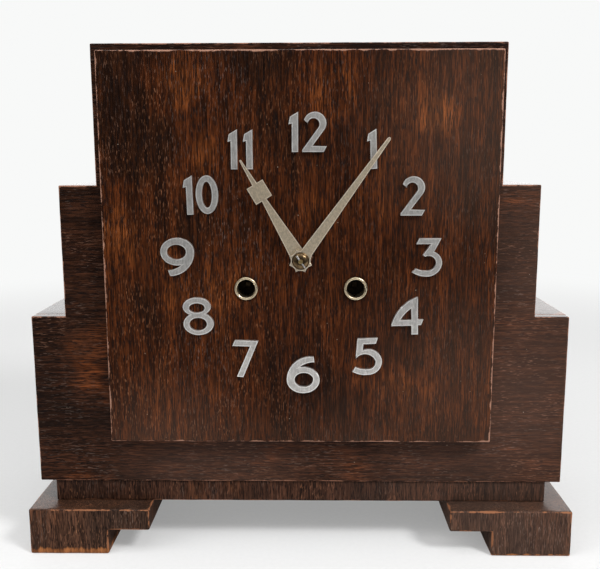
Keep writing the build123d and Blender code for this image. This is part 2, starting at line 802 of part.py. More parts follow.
suspension_pin, cock_back = 1.0, 66.0
cock_width, cock_height, cock_arm, cock_foot, cock_thickness = 9.0, 16.0, 6.0, 24.0, 2.0
with BuildPart() as suspension_cock:
    rod(anchor_at, suspension_pin, crutch_depth + 2.4, cock_back)
    with BuildSketch(movement_facing(cock_back)):
        with Locations((anchor_at[0], anchor_at[1] + 5)):
            Rectangle(cock_width, cock_height)
    extrude(amount=cock_back - rod_depth - 3.6)
    with BuildSketch(movement_facing(cock_back)):
        with Locations((anchor_at[0], anchor_at[1] + 10)):
            Rectangle(cock_width, cock_arm)
    extrude(amount=cock_back - back_inner - plate_thickness)
    with BuildSketch(movement_facing(back_inner + plate_thickness + cock_thickness)):
        with Locations((anchor_at[0], anchor_at[1] + 10)):
            Rectangle(cock_foot, cock_arm + 1)
    extrude(amount=cock_thickness)
export(suspension_cock, "suspension_cock")

pendulum_length, bob_radius, bob_thickness = 136.0, 20.0, 8.0
rod_width, rod_thickness, nut_radius = 4.2, 1.6, 3.5
bob_centre = (dial_x, case_front + rod_depth, dial_z + anchor_at[1] - pendulum_length)
with BuildPart() as pendulum_rod:
    with BuildSketch(movement_facing(rod_depth + rod_thickness / 2)):
        with Locations(anchor_at):
            Circle(anchor_hub)
            Rectangle(rod_width, pendulum_length + bob_radius + 8, align=(Align.CENTER, Align.MAX))
            Circle(suspension_pin + running_gap, mode=Mode.SUBTRACT)
        with Locations((anchor_at[0], anchor_at[1] - crutch_length + 1)):
            Circle(crutch_pin + 0.15, mode=Mode.SUBTRACT)
    extrude(amount=rod_thickness)
with BuildPart() as pendulum_bob:
    with BuildSketch(Plane(bob_centre, x_dir=(1, 0, 0), z_dir=(0, 0, 1))):
        with BuildLine():
            Line((0, -bob_thickness / 2), (0, bob_thickness / 2))
            ThreePointArc((0, bob_thickness / 2), (bob_radius * 0.6, bob_thickness * 0.38), (bob_radius, 0))
            ThreePointArc((bob_radius, 0), (bob_radius * 0.6, -bob_thickness * 0.38), (0, -bob_thickness / 2))
        make_face()
    revolve(axis=Axis(bob_centre, (0, 1, 0)))
    with Locations(bob_centre):
        Box(rod_width + 0.1, rod_thickness + 0.1, 3 * bob_radius, mode=Mode.SUBTRACT)
with BuildPart() as rating_nut:
    with Locations(Vector(*bob_centre) - Vector(0, 0, bob_radius + 2)):
        Cylinder(nut_radius, 3)
        Box(rod_width + 0.1, rod_thickness + 0.1, 6, mode=Mode.SUBTRACT)
with BuildPart() as pendulum:
    add([pendulum_rod.part, pendulum_bob.part, rating_nut.part])
export(pendulum, "pendulum")

# -------------------------------------------------------------- motion works

with BuildPart() as minute_wheel:
    phase = mating_phase(minute_teeth, minute_at, centre_at)
    wheel(minute_at, minute_teeth, motion_module, phase, minute_wheel_depth, wheel_thickness, spokes=4)
    phase = bearing(minute_at, centre_at)
    wheel(minute_at, minute_pinion, hour_module, phase, hour_wheel_depth - 0.4, 4.0, True)
    rod(minute_at, stud + running_gap, hour_wheel_depth - 1, plate_front, Mode.SUBTRACT)
export(minute_wheel, "minute_wheel")

with BuildPart() as hour_wheel:
    phase = mating_phase(hour_teeth, centre_at, minute_at)
    wheel(centre_at, hour_teeth, hour_module, phase, hour_wheel_depth, wheel_thickness)
    rod(centre_at, hour_pipe_outer, hour_hand_depth - hand_thickness, hour_wheel_depth + wheel_thickness)
    pipe_front = hour_hand_depth - hand_thickness
    rod(centre_at, hour_pipe_bore, pipe_front, hour_wheel_depth + wheel_thickness, Mode.SUBTRACT)
export(hour_wheel, "hour_wheel")

# -------------------------------------------------------------- strike train

pin_circle, lifting_pin, pin_count, pin_length = 12.0, 0.8, 6, 3.4
with BuildPart() as pin_wheel:
    pivoted_arbor(pin_at)
    phase = bearing(pin_at, fly_at)
    wheel(pin_at, pin_teeth, pin_module, phase, pin_wheel_depth, wheel_thickness, spokes=6)
    phase = mating_phase(barrel_pinion, pin_at, strike_barrel_at)
    wheel(pin_at, barrel_pinion, barrel_module, phase, barrel_wheel_depth - 0.6, pinion_length, True)
    rod(pin_at, 4.2, pin_wheel_depth - 0.9, pin_wheel_depth)
    with BuildSketch(movement_facing(pin_wheel_depth + pin_length)):
        with Locations(pin_at):
            with PolarLocations(pin_circle, pin_count):
                Circle(lifting_pin)
    extrude(amount=pin_length)
export(pin_wheel, "pin_wheel")

fly_back, fly_length, fly_width, fly_blade, fly_hub = 40.0, 17.0, 23.0, 0.8, 2.6
with BuildPart() as strike_fly:
    pivoted_arbor(fly_at, 1.15)
    phase = mating_phase(fly_pinion, fly_at, pin_at)
    wheel(fly_at, fly_pinion, pin_module, phase, pin_wheel_depth - 1, pinion_length, True)
    with BuildSketch(movement_facing(fly_back)):
        with Locations(fly_at):
            Rectangle(fly_width, fly_blade)
            Circle(fly_hub)
    extrude(amount=fly_length)
export(strike_fly, "strike_fly")

# ------------------------------------------------------------ gong and hammer

gong_at, gong_depth, gong_radius, gong_turns = (58.5, -102.4), 81.0, 44.0, 4
wire_wide, wire_deep, turn_step = 1.8, 3.2, 5.0
stand_width, stand_thickness, stand_foot, gong_boss = 14.0, 5.0, 8.0, 7.0


def half_turn(radius, upper):
    """Half a ring of gong wire, above or below its centre."""
    with BuildSketch() as half:
        Circle(radius + wire_wide / 2)
        Circle(radius - wire_wide / 2, mode=Mode.SUBTRACT)
        cut_side = Align.MAX if upper else Align.MIN
        Rectangle(3 * radius, 3 * radius, align=(Align.CENTER, cut_side), mode=Mode.SUBTRACT)
    return half.sketch


with BuildPart() as gong:
    with BuildSketch(movement_facing(gong_depth + wire_deep / 2)):
        for half in range(2 * gong_turns):
            radius = gong_radius - half * turn_step / 2
            upper = half % 2 == 0
            # the lower halves are centred half a step to the right, so every end meets the next
            with Locations((gong_at[0] + (0 if upper else turn_step / 2), gong_at[1])):
                add(half_turn(radius, upper))
        # the inner end runs straight into the boss
        inner_end = gong_radius - (2 * gong_turns - 1) * turn_step / 2
        with Locations((gong_at[0] + turn_step / 2 - inner_end, gong_at[1])):
            Rectangle(inner_end, wire_wide, align=(Align.MIN, Align.CENTER))
    extrude(amount=wire_deep)
    boss_at = (gong_at[0] + turn_step / 2, gong_at[1])
    stand_front = gong_depth + 2 * wire_deep
    rod(boss_at, gong_boss, gong_depth - 3.5, stand_front)
    base_z = case_bottom + board - dial_z
    with BuildSketch(movement_facing(stand_front + stand_thickness)):
        with Locations((boss_at[0], base_z)):
            Rectangle(stand_width, gong_at[1] - base_z + stand_foot, align=(Align.CENTER, Align.MIN))
            Rectangle(3 * stand_width, stand_foot, align=(Align.CENTER, Align.MIN))
    extrude(amount=stand_thickness)
export(gong, "gong")

hammer_head, head_length, hammer_gap = 5.0, 11.0, 2.5
head_right = gong_at[0] - gong_radius - wire_wide / 2 - hammer_gap
head_middle = (head_right - head_length / 2, gong_at[1])
tail_tip = toward(pin_at, pin_circle + lifting_pin + 1.8, -60)
hammer_depth = gong_depth


def strip(from_place, to_place, width, front, thickness):
    """A flat lever with round ends between two places."""
    length = hypot(to_place[0] - from_place[0], to_place[1] - from_place[1])
    middle = ((from_place[0] + to_place[0]) / 2, (from_place[1] + to_place[1]) / 2)
    with BuildSketch(movement_facing(front + thickness)) as lever:
        with Locations(middle):
            SlotCenterToCenter(length, width, rotation=bearing(from_place, to_place))
    extrude(lever.sketch, amount=thickness)


with BuildPart() as hammer:
    rod(hammer_at, arbor, plate_front + plate_thickness + endshake, back_inner - endshake)
    rod(hammer_at, pivot, plate_front + endshake, hammer_depth)
    rod(hammer_at, arbor, back_inner + plate_thickness + endshake, hammer_depth + 1)
    strip(hammer_at, tail_tip, 2.4, 48.4, 1.4)
    rod(hammer_at, 3.2, 48.0, 50.0)
    strip(hammer_at, head_middle, 3.0, hammer_depth - 1, 2.0)
    rod(hammer_at, 3.4, hammer_depth - 2, hammer_depth + 2)
    head_centre = (dial_x + head_middle[0], case_front + hammer_depth, dial_z + head_middle[1])
    with Locations(head_centre):
        Cylinder(hammer_head, head_length, rotation=(0, 90, 0))
export(hammer, "hammer")

# ----------------------------------------------------------------- back door

door_half = door_half_width - door_gap
sound_hole, sound_ring, sound_x, sound_z = 4.0, 22.0, 40.0, 130.0
with BuildPart() as back_door:
    with BuildSketch(facing(case_depth)):
        with Locations((0, (door_bottom + door_top) / 2)):
            Rectangle(2 * door_half, door_top - door_bottom - 2 * door_gap)
        with Locations((sound_x, sound_z)):
            Circle(sound_hole, mode=Mode.SUBTRACT)
            with PolarLocations(sound_ring / 2, 6):
                Circle(sound_hole, mode=Mode.SUBTRACT)
    extrude(amount=board)
export(back_door, "back_door")

hinge_radius, hinge_pin, hinge_length = 2.2, 1.0, 36.0
leaf_width, leaf_thickness, knuckle_gap = 14.0, 1.2, 0.15
hinge_depth = case_depth + hinge_radius
hinge_inset = 32.0
hinge_heights = (door_bottom + hinge_inset, door_top - hinge_inset)


def upright_cylinder(height, low, high, radius, mode=Mode.ADD):
    """A cylinder on the hinge axis, low and high counted from the hinge's middle height."""
    with Locations((door_half_width, case_front + hinge_depth, height + (low + high) / 2)):
        Cylinder(radius, high - low, mode=mode)


def leaf(height, side, low, high):
    """A hinge leaf on the boards' back faces, with its arm to the knuckle between low and high."""
    outer = door_half_width + side * leaf_width
    inner = door_half_width + side * (hinge_radius + 0.4)
    leaf_depth = case_front + case_depth + leaf_thickness / 2
    with Locations(((outer + inner) / 2, leaf_depth, height)):
        Box(abs(outer - inner), leaf_thickness, hinge_length)
    with Locations(((door_half_width + inner) / 2, leaf_depth, height + (low + high) / 2)):
        Box(abs(inner - door_half_width), leaf_thickness, high - low)
    upright_cylinder(height, low, high, hinge_radius)


knuckle = hinge_length / 6
with BuildPart() as hinge_case_leaves:
    for height in hinge_heights:
        leaf(height, 1, -3 * knuckle, -knuckle)
        leaf(height, 1, knuckle, 3 * knuckle)
        upright_cylinder(height, -3 * knuckle, 3 * knuckle, hinge_pin)
export(hinge_case_leaves, "hinge_case_leaves")

with BuildPart() as hinge_door_leaves:
    for height in hinge_heights:
        leaf(height, -1, -knuckle + knuckle_gap, knuckle - knuckle_gap)
        upright_cylinder(height, -knuckle, knuckle, hinge_pin + running_gap, Mode.SUBTRACT)
export(hinge_door_leaves, "hinge_door_leaves")

knob_x, knob_length, knob_head, neck_radius = -78.0, 12.0, 4.6, 2.4
rosette_radius, rosette_thickness = 6.0, 1.2
knob_foot = (knob_x, case_front + case_depth, (door_bottom + door_top) / 2)
with BuildPart() as door_knob:
    with Locations(Plane(knob_foot, x_dir=(1, 0, 0), z_dir=(0, 1, 0))):
        base = (Align.CENTER, Align.CENTER, Align.MIN)
        Cylinder(rosette_radius, rosette_thickness, align=base)
        Cylinder(neck_radius, knob_length - knob_head, align=base)
        with Locations((0, 0, knob_length - knob_head)):
            Sphere(knob_head)
export(door_knob, "door_knob")
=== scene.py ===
from math import ceil, cos, pi, radians, sin
import bmesh
import bpy
import numpy as np
from mathutils import Matrix, Vector


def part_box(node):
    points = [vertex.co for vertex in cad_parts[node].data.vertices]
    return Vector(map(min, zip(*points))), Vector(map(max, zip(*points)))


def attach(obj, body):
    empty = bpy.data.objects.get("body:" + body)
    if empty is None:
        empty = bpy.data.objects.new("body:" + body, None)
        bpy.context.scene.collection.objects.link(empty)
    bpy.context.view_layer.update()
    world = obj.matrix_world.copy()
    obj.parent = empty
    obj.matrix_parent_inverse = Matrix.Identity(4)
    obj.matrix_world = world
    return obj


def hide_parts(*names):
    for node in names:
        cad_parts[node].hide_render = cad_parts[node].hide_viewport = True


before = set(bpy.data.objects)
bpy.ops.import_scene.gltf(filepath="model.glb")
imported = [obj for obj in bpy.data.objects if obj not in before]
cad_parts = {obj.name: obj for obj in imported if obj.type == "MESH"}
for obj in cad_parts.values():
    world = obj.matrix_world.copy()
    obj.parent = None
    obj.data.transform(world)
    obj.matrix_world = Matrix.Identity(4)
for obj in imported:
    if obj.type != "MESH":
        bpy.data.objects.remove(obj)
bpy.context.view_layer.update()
mm = 0.001
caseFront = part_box("front_board")[0].y
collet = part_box("hand_collet")
dialX = (collet[0].x + collet[1].x) / 2
dialZ = (collet[0].z + collet[1].z) / 2
print("frame loaded,", len(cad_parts), "nodes")


def feedNode(tree, node, feeds):
    for key, value in feeds.items():
        if isinstance(value, bpy.types.NodeSocket):
            tree.links.new(value, node.inputs[key])
        else:
            node.inputs[key].default_value = value


def addNode(tree, kind, feeds=None, **settings):
    node = tree.nodes.new(kind)
    for key, value in settings.items():
        setattr(node, key, value)
    feedNode(tree, node, feeds or {})
    return node


def maths(tree, operation, *values, clamp=False):
    feeds = dict(enumerate(values))
    return addNode(tree, "ShaderNodeMath", feeds, operation=operation, use_clamp=clamp).outputs[0]


def smoothMap(tree, value, low, high, first=0.0, last=1.0):
    feeds = {"Value": value, "From Min": low, "From Max": high, "To Min": first, "To Max": last}
    return addNode(tree, "ShaderNodeMapRange", feeds, interpolation_type="SMOOTHSTEP").outputs["Result"]


def mixColours(tree, factor, first, second, blend="MIX"):
    feeds = {0: factor, 6: first, 7: second}
    return addNode(tree, "ShaderNodeMix", feeds, data_type="RGBA", blend_type=blend).outputs[2]


def greyOf(tree, level):
    return addNode(tree, "ShaderNodeCombineColor", {0: level, 1: level, 2: level}).outputs[0]


def axesOf(tree, vector):
    return addNode(tree, "ShaderNodeSeparateXYZ", {0: vector}).outputs


def objectPlace(tree):
    return addNode(tree, "ShaderNodeTexCoord").outputs["Object"]


def arrisOf(tree):
    return addNode(tree, "ShaderNodeAttribute", attribute_name="arris").outputs["Fac"]


def vectorMaths(tree, operation, *values):
    return addNode(tree, "ShaderNodeVectorMath", dict(enumerate(values)), operation=operation).outputs


def stretched(tree, vector, scale, shift=(0, 0, 0)):
    return addNode(tree, "ShaderNodeMapping", {"Vector": vector, "Scale": scale, "Location": shift}).outputs[0]


def noiseOf(tree, vector, scale, detail=2.0, rough=0.5, distortion=0.0):
    feeds = {"Vector": vector, "Scale": scale, "Detail": detail, "Roughness": rough, "Distortion": distortion}
    return addNode(tree, "ShaderNodeTexNoise", feeds).outputs["Fac"]


def newGroup(name, inputs, outputs):
    tree = bpy.data.node_groups.new(name, "ShaderNodeTree")
    for label, kind, start in inputs:
        socket = tree.interface.new_socket(name=label, in_out="INPUT", socket_type="NodeSocket" + kind)
        if start is not None:
            socket.default_value = start
    for label, kind in outputs:
        tree.interface.new_socket(name=label, in_out="OUTPUT", socket_type="NodeSocket" + kind)
    return tree, addNode(tree, "NodeGroupInput").outputs, addNode(tree, "NodeGroupOutput")


# noises of the grain: stretch along it, shift, scale, detail, roughness, distortion
grainNoises = {
    "patch": (0.6, (0, 0, 0), 17, 3, 0.55, 0.5),
    "cloud": (0.35, (3.1, 0.7, 1.9), 60, 4, 0.6, 0.3),
    "line": (0.045, (0.4, 2.2, 0), 420, 3, 0.65, 0.0),
    "fine": (0.06, (1.4, 0.2, 0.3), 1500, 2, 0.5, 0.0),
    "pale": (0.13, (0.9, 0.1, 4.0), 1750, 1, 0.5, 0.0),
    "black": (0.11, (5.3, 2.1, 0.6), 1500, 1, 0.5, 0.0),
    "old": (0.4, (2.9, 8.1, 3.3), 26, 2, 0.5, 0.0),
    "crowd": (0.5, (7.7, 3.3, 1.1), 48, 3, 0.6, 0.0),
}
# the part of each noise that shows: from, to, and what the two ends become
grainSteps = {
    "line": (0.38, 0.62, 0.64, 1.32),
    "fine": (0.38, 0.62, 0.58, 1.42),
    "pale": (0.605, 0.7),
    "black": (0.545, 0.64),
    "old": (0.42, 0.56),
    "crowd": (0.36, 0.62, 0.12, 1.0),
}
grainValues = {
    "patchShare": 0.6, "cloudShare": 0.45, "toMiddle": (0.36, 0.58), "toWarm": (0.56, 0.80),
    "blackShare": 0.85, "paleShare": 0.6, "blackPore": (0.006, 0.003, 0.0025, 1),
    "fineHeight": 0.35, "lineHeight": 0.25, "blackDepth": 0.5, "paleDepth": 0.35,
}


# stained oak with its grain along the third axis of Vector, in metres
def makeOakGrain():
    tree, given, output = newGroup(
        "oakGrain",
        [
            ("Vector", "Vector", None),
            ("Warmth", "Float", 0.0),
            ("Flecks", "Float", 1.0),
            ("Figure", "Float", 1.0),
            ("Dark", "Color", (0.02, 0.01, 0.007, 1)),
            ("Middle", "Color", (0.07, 0.025, 0.011, 1)),
            ("Warm", "Color", (0.16, 0.05, 0.015, 1)),
            ("Open Pore", "Color", (0.4, 0.15, 0.06, 1)),
            ("Grey Pore", "Color", (0.2, 0.13, 0.11, 1)),
        ],
        [("Color", "Color"), ("Height", "Float"), ("Pores", "Float")],
    )
    noises = {}
    for name, (along, shift, *settings) in grainNoises.items():
        noises[name] = noiseOf(tree, stretched(tree, given["Vector"], (1, 1, along), shift), *settings)
    steps = {name: smoothMap(tree, noises[name], *ends) for name, ends in grainSteps.items()}
    patches = maths(tree, "MULTIPLY", noises["patch"], grainValues["patchShare"])
    tone = maths(tree, "MULTIPLY_ADD", noises["cloud"], grainValues["cloudShare"], patches)
    tone = maths(tree, "ADD", tone, given["Warmth"])
    colour = mixColours(tree, smoothMap(tree, tone, *grainValues["toMiddle"]), given["Dark"], given["Middle"])
    colour = mixColours(tree, smoothMap(tree, tone, *grainValues["toWarm"]), colour, given["Warm"])
    shade = maths(tree, "POWER", maths(tree, "MULTIPLY", steps["line"], steps["fine"]), given["Figure"])
    colour = mixColours(tree, 1.0, colour, greyOf(tree, shade), "MULTIPLY")
    thick = maths(tree, "MULTIPLY", steps["crowd"], given["Flecks"])
    pale = maths(tree, "MULTIPLY", steps["pale"], thick, clamp=True)
    black = maths(tree, "MULTIPLY", steps["black"], grainValues["blackShare"], clamp=True)
    colour = mixColours(tree, black, colour, grainValues["blackPore"])
    pore = mixColours(tree, steps["old"], given["Open Pore"], given["Grey Pore"])
    colour = mixColours(tree, maths(tree, "MULTIPLY", pale, grainValues["paleShare"]), colour, pore)
    lines = maths(tree, "MULTIPLY", noises["line"], grainValues["lineHeight"])
    raised = maths(tree, "MULTIPLY_ADD", noises["fine"], grainValues["fineHeight"], lines)
    sunk = maths(tree, "MULTIPLY", pale, grainValues["paleDepth"])
    sunk = maths(tree, "MULTIPLY_ADD", black, grainValues["blackDepth"], sunk)
    height = maths(tree, "SUBTRACT", raised, sunk)
    feedNode(tree, output, {"Color": colour, "Height": height, "Pores": maths(tree, "MAXIMUM", black, pale)})
    return tree


wearValues = {
    "along": (75, 4, 0.65), "chips": (520, 3, 0.6), "chipDepth": 1.1,
    "widths": (0.36, 0.68, 0.35, 2.1), "fade": (0.45, 1.15, 1.0, 0.0),
}


# where the finish has rubbed off, from the distance to the nearest arris in millimetres
def makeEdgeWear():
    tree, given, output = newGroup(
        "edgeWear",
        [("Vector", "Vector", None), ("Distance", "Float", 9.0), ("Width", "Float", 0.8), ("Amount", "Float", 1.0)],
        [("Mask", "Float")],
    )
    along = noiseOf(tree, given["Vector"], *wearValues["along"])
    chips = maths(tree, "SUBTRACT", noiseOf(tree, given["Vector"], *wearValues["chips"]), 0.5)
    width = maths(tree, "MULTIPLY", given["Width"], smoothMap(tree, along, *wearValues["widths"]))
    ragged = maths(tree, "MULTIPLY_ADD", chips, wearValues["chipDepth"], given["Distance"])
    mask = smoothMap(tree, maths(tree, "DIVIDE", ragged, width), *wearValues["fade"])
    feedNode(tree, output, {"Mask": maths(tree, "MULTIPLY", mask, given["Amount"], clamp=True)})
    return tree


spotValues = {"noise": (60, 3), "fade": (0.15, 1.0, 1.0, 0.0)}


# a soft-edged spot at Centre, one at its middle
def makeSoftSpot():
    tree, given, output = newGroup(
        "softSpot",
        [
            ("Vector", "Vector", None),
            ("Centre", "Vector", None),
            ("Spread", "Vector", (30, 30, 30)),
            ("Uneven", "Float", 1.6),
        ],
        [("Mask", "Float")],
    )
    away = vectorMaths(tree, "SUBTRACT", given["Vector"], given["Centre"])[0]
    far = vectorMaths(tree, "LENGTH", vectorMaths(tree, "MULTIPLY", away, given["Spread"])[0])["Value"]
    noise = maths(tree, "SUBTRACT", noiseOf(tree, given["Vector"], *spotValues["noise"]), 0.5)
    far = maths(tree, "MULTIPLY_ADD", noise, given["Uneven"], far)
    feedNode(tree, output, {"Mask": smoothMap(tree, far, *spotValues["fade"])})
    return tree


speckValues = {"chosen": (0.72, 1.0), "edge": (-0.02, 0.02, 1.0, 0.0)}


# rare pale specks and nicks
def makeSpecks():
    tree, given, output = newGroup(
        "specks", [("Vector", "Vector", None), ("Scale", "Float", 130.0), ("Size", "Float", 0.06)], [("Mask", "Float")]
    )
    cells = addNode(tree, "ShaderNodeTexVoronoi", {"Vector": given["Vector"], "Scale": given["Scale"]})
    chosen = addNode(tree, "ShaderNodeSeparateColor", {0: cells.outputs["Color"]}).outputs[0]
    size = maths(tree, "MULTIPLY", given["Size"], smoothMap(tree, chosen, *speckValues["chosen"]))
    beyond = maths(tree, "SUBTRACT", cells.outputs["Distance"], size)
    feedNode(tree, output, {"Mask": smoothMap(tree, beyond, *speckValues["edge"])})
    return tree


bloomValues = {"cloud": (4, 0.6, 0.4), "scratch": (900, 3, 0.7), "shows": (0.34, 0.68), "share": 0.5}


# cast or turned metal gone slightly dull
def makeMetalBloom():
    tree, given, output = newGroup(
        "metalBloom",
        [("Vector", "Vector", None), ("Scale", "Float", 400.0), ("Streak", "Vector", (1, 1, 1))],
        [("Bloom", "Float"), ("Scratch", "Float"), ("Height", "Float")],
    )
    cloud = noiseOf(tree, given["Vector"], given["Scale"], *bloomValues["cloud"])
    scratch = noiseOf(tree, stretched(tree, given["Vector"], given["Streak"]), *bloomValues["scratch"])
    clouds = maths(tree, "MULTIPLY", cloud, bloomValues["share"])
    height = maths(tree, "MULTIPLY_ADD", scratch, bloomValues["share"], clouds)
    bloom = smoothMap(tree, cloud, *bloomValues["shows"])
    feedNode(tree, output, {"Bloom": bloom, "Scratch": scratch, "Height": height})
    return tree


oakGrain, edgeWear, softSpot = makeOakGrain(), makeEdgeWear(), makeSoftSpot()
specks, metalBloom = makeSpecks(), makeMetalBloom()
print("shader groups built")


def fillGroup(tree, group, feeds):
    return addNode(tree, "ShaderNodeGroup", feeds, node_tree=group).outputs


def newMaterial(name):
    material = bpy.data.materials.new(name)
    material.use_nodes = True
    material.node_tree.nodes.clear()
    tree = material.node_tree
    surface = addNode(tree, "ShaderNodeBsdfPrincipled")
    addNode(tree, "ShaderNodeOutputMaterial", {0: surface.outputs[0]})
    return material, tree, surface


grainTurns = {"up": (0, 0, 0), "across": (0, radians(90), 0)}
# spots and painted sheen: place from the dial's middle, reach and strength; a spot above nought is warmer, below it
# darker; the sheen is a grey veil added to the colour where the lamps and the floor would reflect
oakLooks = {
    "panelOak": {
        "grain": "up", "shift": (0.13, 0.02, 0.41), "fleckFade": (-0.07, 0.06, 0.78, 0.36),
        "figure": 1.25, "wear": 0.85, "gloss": 0.46, "warmth": 0.0, "specks": 0.05, "wax": 0.55,
        "dark": (0.016, 0.0048, 0.0015, 1), "middle": (0.041, 0.0102, 0.0024, 1), "warm": (0.105, 0.029, 0.0065, 1),
        "pore": (0.30, 0.125, 0.06, 1), "greyPore": (0.17, 0.115, 0.095, 1), "edge": (0.36, 0.19, 0.13, 1),
        "paintedSheenColour": (0.046, 0.030, 0.022, 1),
        "paintedSheen": [((125, 90), 110, 0.5), ((125, -100), 120, 0.45), ((-90, -150), 90, 0.5), ((20, -170), 90, 0.4)],
        "spots": [
            ((-82, 120), 34, 0.14), ((-70, 62), 30, 0.12), ((-118, 10), 34, 0.13), ((-78, -16), 34, 0.10),
            ((20, 106), 30, 0.10), ((96, 92), 26, 0.10), ((-112, 84), 46, -0.2), ((-45, 132), 30, -0.12),
            ((-120, 135), 50, -0.15), ((-60, 30), 40, -0.06), ((0, -20), 60, 0.03), ((-90, -100), 40, 0.05),
        ],
    },
    "caseOak": {
        "grain": "across", "shift": (0.31, 0.22, 0.05), "fleckFade": (-0.2, 0.2, 0.55, 0.7),
        "figure": 1.1, "wear": 0.55, "gloss": 0.46, "warmth": -0.02, "specks": 0.05, "wax": 0.55,
        "dark": (0.014, 0.0052, 0.0026, 1), "middle": (0.031, 0.0108, 0.005, 1), "warm": (0.095, 0.026, 0.0075, 1),
        "pore": (0.22, 0.11, 0.07, 1), "greyPore": (0.16, 0.115, 0.095, 1), "edge": (0.30, 0.145, 0.095, 1),
        "paintedSheenColour": (0.044, 0.026, 0.0195, 1),
        "paintedSheen": [((175, -70), 120, 0.6), ((165, 30), 90, 0.55), ((120, -140), 120, 0.5), ((-60, -160), 110, 0.5)],
        "spots": [
            ((-145, -70), 36, 0.18), ((-110, -128), 50, 0.08), ((140, -60), 45, 0.05), ((30, -138), 90, 0.05),
            ((-182, -110), 30, -0.1),
        ],
    },
    "endOak": {
        "grain": "up", "shift": (0.07, 0.52, 0.17), "fleckFade": (-0.2, 0.2, 1.0, 1.0),
        "figure": 1.0, "wear": 0.8, "gloss": 0.42, "warmth": -0.03, "specks": 0.04, "wax": 0.4,
        "dark": (0.033, 0.0175, 0.0115, 1), "middle": (0.062, 0.0275, 0.0155, 1), "warm": (0.13, 0.044, 0.017, 1),
        "pore": (0.32, 0.15, 0.08, 1), "greyPore": (0.2, 0.14, 0.11, 1), "edge": (0.28, 0.115, 0.055, 1),
        "paintedSheenColour": (0.058, 0.036, 0.028, 1), "paintedSheen": [((150, -180), 130, 0.4)], "spots": [],
    },
    "plinthOak": {
        "grain": "up", "shift": (0.27, 0.11, 0.37), "fleckFade": (-0.2, 0.2, 0.7, 0.7),
        "figure": 0.9, "wear": 0.5, "gloss": 0.46, "warmth": 0.0, "specks": 0.05, "wax": 0.5,
        "dark": (0.023, 0.0105, 0.0066, 1), "middle": (0.044, 0.018, 0.0102, 1), "warm": (0.095, 0.033, 0.0125, 1),
        "pore": (0.28, 0.12, 0.06, 1), "greyPore": (0.15, 0.10, 0.08, 1), "edge": (0.24, 0.10, 0.05, 1),
        "paintedSheenColour": (0.045, 0.034, 0.028, 1), "paintedSheen": [((150, -150), 160, 0.35)], "spots": [],
    },
    "backOak": {
        "grain": "up", "shift": (0.47, 0.31, 0.07), "fleckFade": (-0.2, 0.2, 0.4, 0.4),
        "figure": 0.9, "wear": 0.5, "gloss": 0.55, "warmth": 0.03, "specks": 0.04, "wax": 0.4,
        "dark": (0.04, 0.02, 0.012, 1), "middle": (0.085, 0.038, 0.019, 1), "warm": (0.16, 0.072, 0.032, 1),
        "pore": (0.24, 0.13, 0.07, 1), "greyPore": (0.16, 0.11, 0.08, 1), "edge": (0.30, 0.16, 0.095, 1),
        "paintedSheenColour": (0.05, 0.036, 0.028, 1), "paintedSheen": [((100, 60), 120, 0.2)], "spots": [],
    },
}
oakFinish = {
    "spotUneven": 1.6, "paintedSheenUneven": 0.25, "wornShare": 0.9, "speckScale": 150.0, "speckShare": 0.6,
    "speckColour": (0.42, 0.33, 0.26, 1), "poreRough": 0.2, "wornRough": 0.2, "wornDepth": 0.3,
    "bump": {"Strength": 0.5, "Distance": 0.0003}, "waxedFrom": (0.7, 0.95),
    "surface": {"Specular IOR Level": 0.06, "Coat Roughness": 0.18},
}
# the feet are rubbed bare along the bottom, higher up on the left
rubbedFeet = {
    "stretch": (1, 1, 0.25), "noise": (260, 3, 0.6), "reach": (-0.12, 0.12, 0.0055, 0.002), "raggedness": 2.0,
    "fade": (0.55, 0.95, 1.0, 0.0), "tones": (0.4, 0.62), "brown": (0.13, 0.045, 0.015, 1),
    "orange": (0.34, 0.13, 0.045, 1), "share": 0.9,
}


def spotAt(tree, place, middle, reach, uneven):
    centre = (dialX + middle[0] * mm, caseFront, dialZ + middle[1] * mm)
    spread = (1 / (reach * mm), 0.0, 1 / (reach * mm))
    return fillGroup(tree, softSpot, {"Vector": place, "Centre": centre, "Spread": spread, "Uneven": uneven})["Mask"]


def rubFeet(tree, place, axes, colour):
    streak = noiseOf(tree, stretched(tree, place, rubbedFeet["stretch"]), *rubbedFeet["noise"])
    reach = smoothMap(tree, axes[0], *rubbedFeet["reach"])
    reach = maths(tree, "MULTIPLY", reach, maths(tree, "MULTIPLY", streak, rubbedFeet["raggedness"]))
    bare = smoothMap(tree, maths(tree, "DIVIDE", axes[2], reach), *rubbedFeet["fade"])
    tones = smoothMap(tree, streak, *rubbedFeet["tones"])
    wood = mixColours(tree, tones, rubbedFeet["brown"], rubbedFeet["orange"])
    return mixColours(tree, maths(tree, "MULTIPLY", bare, rubbedFeet["share"]), colour, wood)


